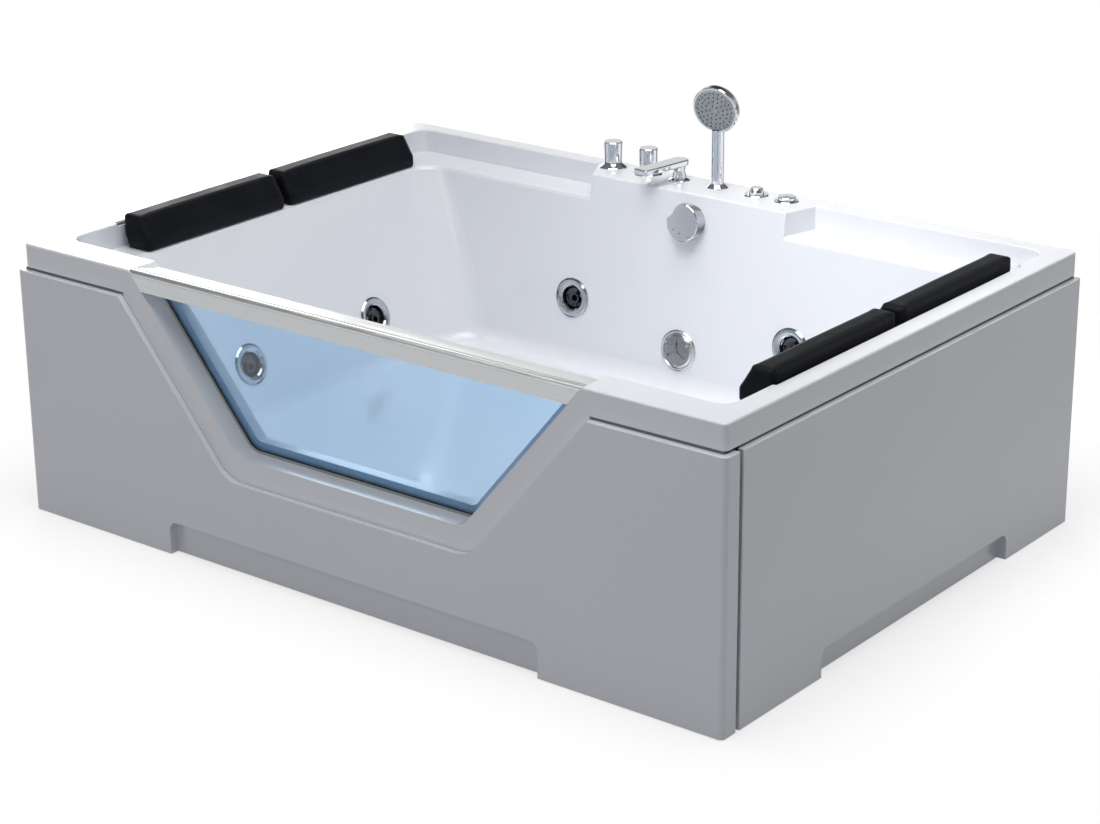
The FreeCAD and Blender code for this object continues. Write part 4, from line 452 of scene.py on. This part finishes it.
# ---- cushions ---------------------------------------------------------------------------------
def rounded_section(corners, radius, step):
    """Points round a closed polygon with arcs at its corners, about one step apart."""
    points = []
    count = len(corners)
    for index in range(count):
        corner = Vector(corners[index])
        before = Vector(corners[index - 1]) - corner
        after = Vector(corners[(index + 1) % count]) - corner
        half = before.angle(after) / 2.0
        reach = radius / math.tan(half)
        first = corner + before.normalized() * reach
        last = corner + after.normalized() * reach
        centre = corner + (before.normalized() + after.normalized()).normalized() * (
            radius / math.sin(half))
        for part in range(6):
            blend = first.lerp(last, part / 5.0) - centre
            points.append(centre + blend.normalized() * radius)
        following = Vector(corners[(index + 1) % count])
        nafter = Vector(corners[(index + 2) % count]) - following
        nhalf = (corner - following).angle(nafter) / 2.0
        stop = following + (corner - following).normalized() * (radius / math.tan(nhalf))
        run = (stop - last).length
        parts = max(1, int(run / step))
        for part in range(1, parts):
            points.append(last.lerp(stop, part / parts))
    return points


def cushion_mesh(name, low, high, side):
    """Moulded neck cushion: flat foot, upright front foot, slanted face and flat top strip."""
    width, front_run, front_foot = 0.075, 0.028, 0.024
    lean, rise = 0.010, 0.030
    skin, corner_radius, point_step = 0.0010, 0.0030, 0.006
    end_draw, end_run, crown_rise = 0.0055, 0.0075, 0.0012
    height = high.z - low.z - crown_rise
    length = high.y - low.y
    stations = 108
    rings = []
    for index in range(stations + 1):
        along = index / stations
        end = min(along, 1.0 - along) * length
        draw = end_draw * max(0.0, 1.0 - end / end_run) + skin
        top = height - draw + crown_rise * math.sin(math.pi * along)
        corners = [(draw, 0.0), (width - lean - draw, 0.0), (width - draw, rise),
                   (width - draw, top), (front_run + draw * 0.4, top), (draw, front_foot)]
        y = low.y + length * index / stations
        rings.append([(low.x + across if side > 0 else high.x - across, y, low.z + up)
                      for across, up in rounded_section(corners, corner_radius, point_step)])
    return ring_mesh(name, rings, False)


def fill_cushion(piece, limit):
    """Presses the skin out from inside, as foam does, and keeps the foot flat."""
    last_frame, foot_height = 12, 0.004
    remesh = piece.modifiers.new("remesh", "REMESH")
    remesh.mode = "VOXEL"
    remesh.voxel_size = 0.0035
    settle(piece)
    rest = [vertex.co.copy() for vertex in piece.data.vertices]
    lowest = min(point.z for point in rest)
    cloth = piece.modifiers.new("fill", "CLOTH")
    cloth.settings.use_pressure = True
    cloth.settings.uniform_pressure_force = 4.0
    cloth.settings.effector_weights.gravity = 0.0
    cloth.point_cache.frame_start = 1
    cloth.point_cache.frame_end = last_frame
    for moment in range(1, last_frame + 1):
        bpy.context.scene.frame_set(moment)
    settle(piece)
    bpy.context.scene.frame_set(1)
    for vertex, start in zip(piece.data.vertices, rest):
        moved = vertex.co - start
        if moved.length > limit:
            moved = moved.normalized() * limit
        vertex.co = start + moved
        if start.z < lowest + foot_height:
            vertex.co.z = max(vertex.co.z, lowest)


def neck_cushions():
    for side, side_name in ((-1, "left"), (1, "right")):
        for place in ("front", "back"):
            node = "pillow_" + side_name + "_" + place
            low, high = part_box(node)
            piece = cushion_mesh("cushion_" + side_name + "_" + place, low, high, side)
            fill_cushion(piece, 0.0010)
            finer = piece.modifiers.new("finer", "SUBSURF")
            finer.levels = finer.render_levels = 1
            settle(piece)
            smooth(piece)
            piece.data.materials.append(pillow_skin)
            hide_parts(node)
            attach(piece, node)


# ---- repeated small pieces --------------------------------------------------------------------
def stub_tree():
    """Node tree that stands a tapered stub on each point, along the point's own direction."""
    tree = bpy.data.node_groups.new("stubs", "GeometryNodeTree")
    face = tree.interface
    face.new_socket("Geometry", in_out="INPUT", socket_type="NodeSocketGeometry")
    for name, kind in (("Foot radius", "NodeSocketFloat"), ("Top radius", "NodeSocketFloat"),
                       ("Height", "NodeSocketFloat"), ("Sides", "NodeSocketInt"),
                       ("Finish", "NodeSocketMaterial")):
        face.new_socket(name, in_out="INPUT", socket_type=kind)
    face.new_socket("Geometry", in_out="OUTPUT", socket_type="NodeSocketGeometry")
    into = tree.nodes.new("NodeGroupInput")
    out = tree.nodes.new("NodeGroupOutput")
    stub = tree.nodes.new("GeometryNodeMeshCone")
    direction = tree.nodes.new("GeometryNodeInputNamedAttribute")
    direction.data_type = "FLOAT_VECTOR"
    direction.inputs["Name"].default_value = "direction"
    align = tree.nodes.new("FunctionNodeAlignRotationToVector")
    align.axis = "Z"
    stand = tree.nodes.new("GeometryNodeInstanceOnPoints")
    real = tree.nodes.new("GeometryNodeRealizeInstances")
    finish = tree.nodes.new("GeometryNodeSetMaterial")
    link = tree.links.new
    link(into.outputs["Foot radius"], stub.inputs["Radius Bottom"])
    link(into.outputs["Top radius"], stub.inputs["Radius Top"])
    link(into.outputs["Height"], stub.inputs["Depth"])
    link(into.outputs["Sides"], stub.inputs["Vertices"])
    link(direction.outputs["Attribute"], align.inputs["Vector"])
    link(into.outputs["Geometry"], stand.inputs["Points"])
    link(stub.outputs["Mesh"], stand.inputs["Instance"])
    link(align.outputs["Rotation"], stand.inputs["Rotation"])
    link(stand.outputs["Instances"], real.inputs["Geometry"])
    link(real.outputs["Geometry"], finish.inputs["Geometry"])
    link(into.outputs["Finish"], finish.inputs["Material"])
    link(finish.outputs["Geometry"], out.inputs["Geometry"])
    return tree


STUBS = stub_tree()


def stubs(name, places, foot, top, height, sides, finish):
    """Plain mesh of one stub at each (point, direction) pair."""
    points = bpy.data.meshes.new(name + " points")
    points.from_pydata([tuple(point) for point, way in places], [], [])
    along = points.attributes.new("direction", "FLOAT_VECTOR", "POINT")
    for index, (point, way) in enumerate(places):
        along.data[index].vector = way
    piece = bpy.data.objects.new(name, points)
    bpy.context.collection.objects.link(piece)
    modifier = piece.modifiers.new("stubs", "NODES")
    modifier.node_group = STUBS
    values = {"Foot radius": foot, "Top radius": top, "Height": height, "Sides": sides,
              "Finish": finish}
    for item in STUBS.interface.items_tree:
        if item.in_out == "INPUT" and item.name in values:
            modifier[item.identifier] = values[item.name]
    settle(piece)
    piece.data.materials.clear()
    piece.data.materials.append(finish)
    smooth(piece, math.radians(40))
    return piece


def handset_frame():
    """Centre of the handset's head and the direction in which its spray face looks."""
    handle_x, handle_y, back_set = 0.024, 0.5635, 0.004
    grip_height, head_rise = 0.124, 0.046
    tilt, turn = math.radians(12.0), math.radians(9.0)
    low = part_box("handset_body")[0]
    centre = Vector((handle_x, handle_y - back_set, low.z + grip_height + head_rise))
    look = Vector((math.sin(turn) * math.cos(tilt), -math.cos(turn) * math.cos(tilt),
                   -math.sin(tilt)))
    return centre, look


def spray_nozzles():
    """Rubber nozzles standing in the holes of the spray face."""
    face_depth, foot_radius, top_radius, height = 0.0135, 0.00125, 0.0008, 0.0036
    centre, look = handset_frame()
    turn = Vector((0, 0, 1)).rotation_difference(look)
    places = []
    for radius, count in ((0.010, 6), (0.020, 12), (0.030, 18), (0.039, 24)):
        for step in range(count):
            angle = 2.0 * math.pi * (step + 0.5 * (count % 12 == 0)) / count
            spot = Vector((radius * math.cos(angle), radius * math.sin(angle), face_depth))
            places.append((centre + turn @ spot, look))
    piece = stubs("spray_nozzles", places, foot_radius, top_radius, height, 10, spray_rubber)
    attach(piece, "handset")


# ---- window -----------------------------------------------------------------------------------
HALF_TOP, HALF_LOW, SILL, RIM_TOP = 0.553, 0.280, 0.245, 0.570
GLASS_FRONT, GLASS_BACK = -0.5485, -0.5409


def window_outline(inset, top, radius):
    """Trapezoid of the window, drawn in by an inset, with round lower corners: (x, z) points."""
    slope = (HALF_TOP - HALF_LOW) / (RIM_TOP - SILL)
    slant = math.hypot(1.0, slope)

    def half(z):
        return HALF_LOW + slope * (z - SILL) - inset * slant

    low = SILL + inset
    corners = [(-half(top), top), (-half(low), low), (half(low), low), (half(top), top)]
    points = [Vector(corners[0])]
    for before, corner, after in zip(corners, corners[1:], corners[2:]):
        corner = Vector(corner)
        into = (Vector(before) - corner).normalized()
        away = (Vector(after) - corner).normalized()
        turn = into.angle(away) / 2.0
        centre = corner + (into + away).normalized() * (radius / math.sin(turn))
        first = corner + into * (radius / math.tan(turn)) - centre
        last = corner + away * (radius / math.tan(turn)) - centre
        for step in range(13):
            points.append(centre + first.lerp(last, step / 12.0).normalized() * radius)
    points.append(Vector(corners[-1]))
    return points


def solid_strip(name, rings, finish):
    """Fixed strip with flat ends, skinned over its rings."""
    piece = ring_mesh(name, rings, False)
    piece.data.materials.append(finish)
    smooth(piece, math.radians(35))
    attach(piece, "bathtub")
    return piece


def window_pane():
    """Flat pane with arrissed edges, standing just clear of the flange behind it."""
    arris, edge_inset, top, corner_radius = 0.0006, 0.0035, 0.547, 0.0385
    rings = []
    for grow, y in ((arris, GLASS_FRONT), (0.0, GLASS_FRONT + arris),
                    (0.0, GLASS_BACK - arris), (arris, GLASS_BACK)):
        outline = window_outline(edge_inset + grow, top - grow, corner_radius)
        rings.append([(point.x, y, point.y) for point in outline])
    pane = solid_strip("window_pane", rings, glass)
    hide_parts("window_glass")


def sealant_edge_shade():
    """Thin black bead at the inner edge of the sealant, standing for the dark line there: partly
    the sealant's own edge, partly painted shadow of its lip.
    """
    top, foot, face = 0.5315, GLASS_FRONT - 0.0001, GLASS_FRONT - 0.0012
    inner = window_outline(0.0076, top, 0.0344)
    outer = window_outline(0.0058, top, 0.0362)
    rings = []
    for near, far in zip(inner, outer):
        rings.append([(near.x, foot, near.y), (near.x, face, near.y),
                      (far.x, face - 0.0016, far.y), (far.x, foot, far.y)])
    solid_strip("window_sealant_edge_shade", rings, black_edge_shade)


def closing_strips():
    """Foam strips behind the panels' top edges, closing the gap up to the rim."""
    low, high, thick = 0.5075, 0.5217, 0.0024
    half_x, front, side_front, back = 0.848, -0.5944, -0.5540, 0.6010
    front_inner, front_outer = 0.5700, 0.8470

    def strip(name, start, end, out):
        side = Vector(out) * thick
        rings = []
        for x, y in (start, end):
            rings.append([(x, y, low), (x, y, high), (x - side.x, y - side.y, high),
                          (x - side.x, y - side.y, low)])
        solid_strip(name, rings, grey_foam)

    strip("closing_strip_left", (-half_x, side_front), (-half_x, back), (-1, 0))
    strip("closing_strip_right", (half_x, side_front), (half_x, back), (1, 0))
    for side, side_name in ((-1, "left"), (1, "right")):
        strip("closing_strip_front_" + side_name, (side * front_inner, front),
              (side * front_outer, front), (0, -1))


# ---- chrome details ---------------------------------------------------------------------------
def outer_face(node, look):
    """Middle of the part of a node that lies farthest along a direction."""
    flatness = 0.0004
    look = Vector(look).normalized()
    points = [vertex.co.copy() for vertex in NODES[node].data.vertices]
    top = max(point.dot(look) for point in points)
    picked = [point for point in points if point.dot(look) > top - flatness]
    return sum(picked, Vector()) / len(picked), look


def ring_round(name, centre, look, radius, thick, finish, body):
    """Round ring lying across a direction."""
    steps, parts = 40, 10
    turn = Vector((0, 0, 1)).rotation_difference(look)
    rings = []
    for step in range(steps):
        angle = 2.0 * math.pi * step / steps
        ring = []
        for part in range(parts):
            curl = 2.0 * math.pi * part / parts
            reach = radius + thick * math.cos(curl)
            ring.append(centre + turn @ Vector((reach * math.cos(angle), reach * math.sin(angle),
                                                thick * math.sin(curl))))
        rings.append(ring)
    piece = ring_mesh(name, rings, True)
    piece.data.materials.append(finish)
    smooth(piece)
    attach(piece, body)


def nozzle_mouths():
    """Bright rings round the ports of the turning nozzles."""
    for number in range(1, 7):
        node = "jet_nozzle_" + str(number)
        low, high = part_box(node)
        size = high - low
        if size.y < size.x:
            look = (0.0, -1.0, BACK_WALL_LEAN)
        else:
            look = (1.0 if low.x < 0 else -1.0, 0.0, END_WALL_LEAN)
        centre, look = outer_face(node, look)
        ring_round("nozzle_mouth_" + str(number), centre, look, 0.0095, 0.0013, chrome,
                   "nozzle_" + str(number))


def overflow_pins():
    """Three small dark pins in the face of the overflow knob."""
    sunk, foot_radius, top_radius, height = 0.0004, 0.0013, 0.0011, 0.0016
    centre, look = outer_face("overflow_knob", (0.0, -1.0, BACK_WALL_LEAN))
    across = Vector((1, 0, 0))
    up = look.cross(across).normalized()
    if up.z < 0:
        up = -up
    places = [(centre + across * right + up * rise - look * sunk, look)
              for right, rise in ((-0.026, -0.010), (-0.010, -0.016), (0.013, -0.020))]
    piece = stubs("overflow_pins", places, foot_radius, top_radius, height, 12, black_plastic)
    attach(piece, "overflow_knob")


# ---- stage ------------------------------------------------------------------------------------
def seen_or_lit(tree):
    """Socket that is 1 for camera, glossy and transmission rays and 0 for light; its node."""
    path = tree.nodes.new("ShaderNodeLightPath")
    value = path.outputs["Is Camera Ray"]
    for name in ("Is Glossy Ray", "Is Transmission Ray"):
        either = tree.nodes.new("ShaderNodeMath")
        either.operation = "MAXIMUM"
        tree.links.new(value, either.inputs[0])
        tree.links.new(path.outputs[name], either.inputs[1])
        value = either.outputs["Value"]
    return value, path


def paper_finish():
    """White paper that keeps the object's soft shadow near it and fades out to plain white."""
    fade_start, fade_end, metre_scale = 0.27, 0.46, 0.25
    near_glow, near_tone = 0.66, 0.44
    made = Finish("floor paper", (0.36, 0.36, 0.37), 0.9)
    tree = made.tree
    value = seen_or_lit(tree)[0]
    away = made.node("ShaderNodeVectorMath", Vector=made.coords)
    away.operation = "LENGTH"
    scaled = made.maths("MULTIPLY", away.outputs["Value"], metre_scale)
    far = made.ramp(scaled, 0.0, 1.0, fade_start, fade_end)
    white = made.node("ShaderNodeEmission", Strength=1.0)
    pale = made.node("ShaderNodeEmission", Strength=near_glow)
    lit = made.node("ShaderNodeBsdfDiffuse")
    lit.inputs["Color"].default_value = made.rgba(near_tone)
    near = tree.nodes.new("ShaderNodeAddShader")
    tree.links.new(pale.outputs["Emission"], near.inputs[0])
    tree.links.new(lit.outputs["BSDF"], near.inputs[1])
    shown = made.node("ShaderNodeMixShader", Fac=far)
    tree.links.new(near.outputs["Shader"], shown.inputs[1])
    tree.links.new(white.outputs["Emission"], shown.inputs[2])
    choice = made.node("ShaderNodeMixShader", Fac=value)
    tree.links.new(made.shader.outputs["BSDF"], choice.inputs[1])
    tree.links.new(shown.outputs["Shader"], choice.inputs[2])
    tree.links.new(choice.outputs["Shader"], tree.nodes["Material Output"].inputs["Surface"])
    return made.material


def lay_floor():
    reach = 14.0
    mesh = bpy.data.meshes.new("floor")
    mesh.from_pydata([(-reach, -reach, 0), (reach, -reach, 0), (reach, reach, 0),
                      (-reach, reach, 0)], [], [(0, 1, 2, 3)])
    floor = bpy.data.objects.new("floor", mesh)
    bpy.context.scene.collection.objects.link(floor)
    mesh.materials.append(paper_finish())


def light_room():
    """Pale even light; metal sees the white sweep up to eye level and a dim room above it."""
    world = bpy.data.worlds.new("studio")
    bpy.context.scene.world = world
    world.use_nodes = True
    tree = world.node_tree
    nodes, link = tree.nodes, tree.links.new
    ambient = nodes["Background"]
    ambient.inputs["Color"].default_value = (0.94, 0.97, 1.0, 1.0)
    ambient.inputs["Strength"].default_value = 0.30
    white = nodes.new("ShaderNodeBackground")
    white.inputs["Color"].default_value = (1.0, 1.0, 1.0, 1.0)
    value, path = seen_or_lit(tree)
    direction = nodes.new("ShaderNodeTexCoord")
    split = nodes.new("ShaderNodeSeparateXYZ")
    link(direction.outputs["Generated"], split.inputs["Vector"])
    rise = nodes.new("ShaderNodeMapRange")
    for socket, setting in (("From Min", 0.24), ("From Max", 0.50), ("To Min", 1.0),
                            ("To Max", 0.22)):
        rise.inputs[socket].default_value = setting
    link(split.outputs["Z"], rise.inputs["Value"])
    room = nodes.new("ShaderNodeBackground")
    link(rise.outputs["Result"], room.inputs["Strength"])
    metal = nodes.new("ShaderNodeMixShader")
    link(path.outputs["Is Glossy Ray"], metal.inputs["Fac"])
    link(white.outputs["Background"], metal.inputs[1])
    link(room.outputs["Background"], metal.inputs[2])
    mix = nodes.new("ShaderNodeMixShader")
    link(value, mix.inputs["Fac"])
    link(ambient.outputs["Background"], mix.inputs[1])
    link(metal.outputs["Shader"], mix.inputs[2])
    link(mix.outputs["Shader"], nodes["World Output"].inputs["Surface"])


def hang_lamps():
    """Soft square lamps: place, aim, size, power in watts and spread in degrees."""
    middle = (0.0, 0.0, 0.3)
    for name, place, aim, size, power, spread in (
            ("overhead", (0.40, -0.35, 3.6), middle, 2.6, 80.0, 180),
            ("back left", (-3.3, 2.2, 1.9), middle, 1.7, 26.0, 180),
            ("front fill", (-0.4, -4.2, 2.4), middle, 2.2, 16.0, 180),
            ("deck light", (0.48, -0.66, 1.85), (0.46, 0.50, 0.58), 0.7, 2.2, 60)):
        data = bpy.data.lights.new(name, "AREA")
        data.shape = "SQUARE"
        data.size = size
        data.energy = power
        data.spread = math.radians(spread)
        data.color = (1.0, 0.99, 0.98)
        lamp = bpy.data.objects.new(name, data)
        lamp.location = place
        toward = Vector(aim) - Vector(place)
        lamp.rotation_euler = toward.to_track_quat("-Z", "Y").to_euler()
        lamp.visible_camera = False
        bpy.context.scene.collection.objects.link(lamp)


def camera():
    """Stands where the photograph was taken from, with its long lens."""
    data = bpy.data.cameras.new("camera")
    data.sensor_width = 36.0
    data.lens = 89.503
    made = bpy.data.objects.new("camera", data)
    bpy.context.scene.collection.objects.link(made)
    made.location = (3.213835, -4.038368, 2.148596)
    azimuth, elevation, roll = math.radians(38.399), math.radians(20.442), math.radians(-0.499)
    back = Vector((math.sin(azimuth) * math.cos(elevation),
                   -math.cos(azimuth) * math.cos(elevation), math.sin(elevation)))
    made.rotation_mode = "QUATERNION"
    level = (-back).to_track_quat("-Z", "Y")
    made.rotation_quaternion = level @ Quaternion((0, 0, 1), roll)
    bpy.context.scene.camera = made


# ---- make -------------------------------------------------------------------------------------
bpy.context.scene.view_settings.view_transform = "Standard"
camera()
lay_floor()
light_room()
hang_lamps()
dress_frame()
neck_cushions()
spray_nozzles()
window_pane()
sealant_edge_shade()
closing_strips()
nozzle_mouths()
overflow_pins()
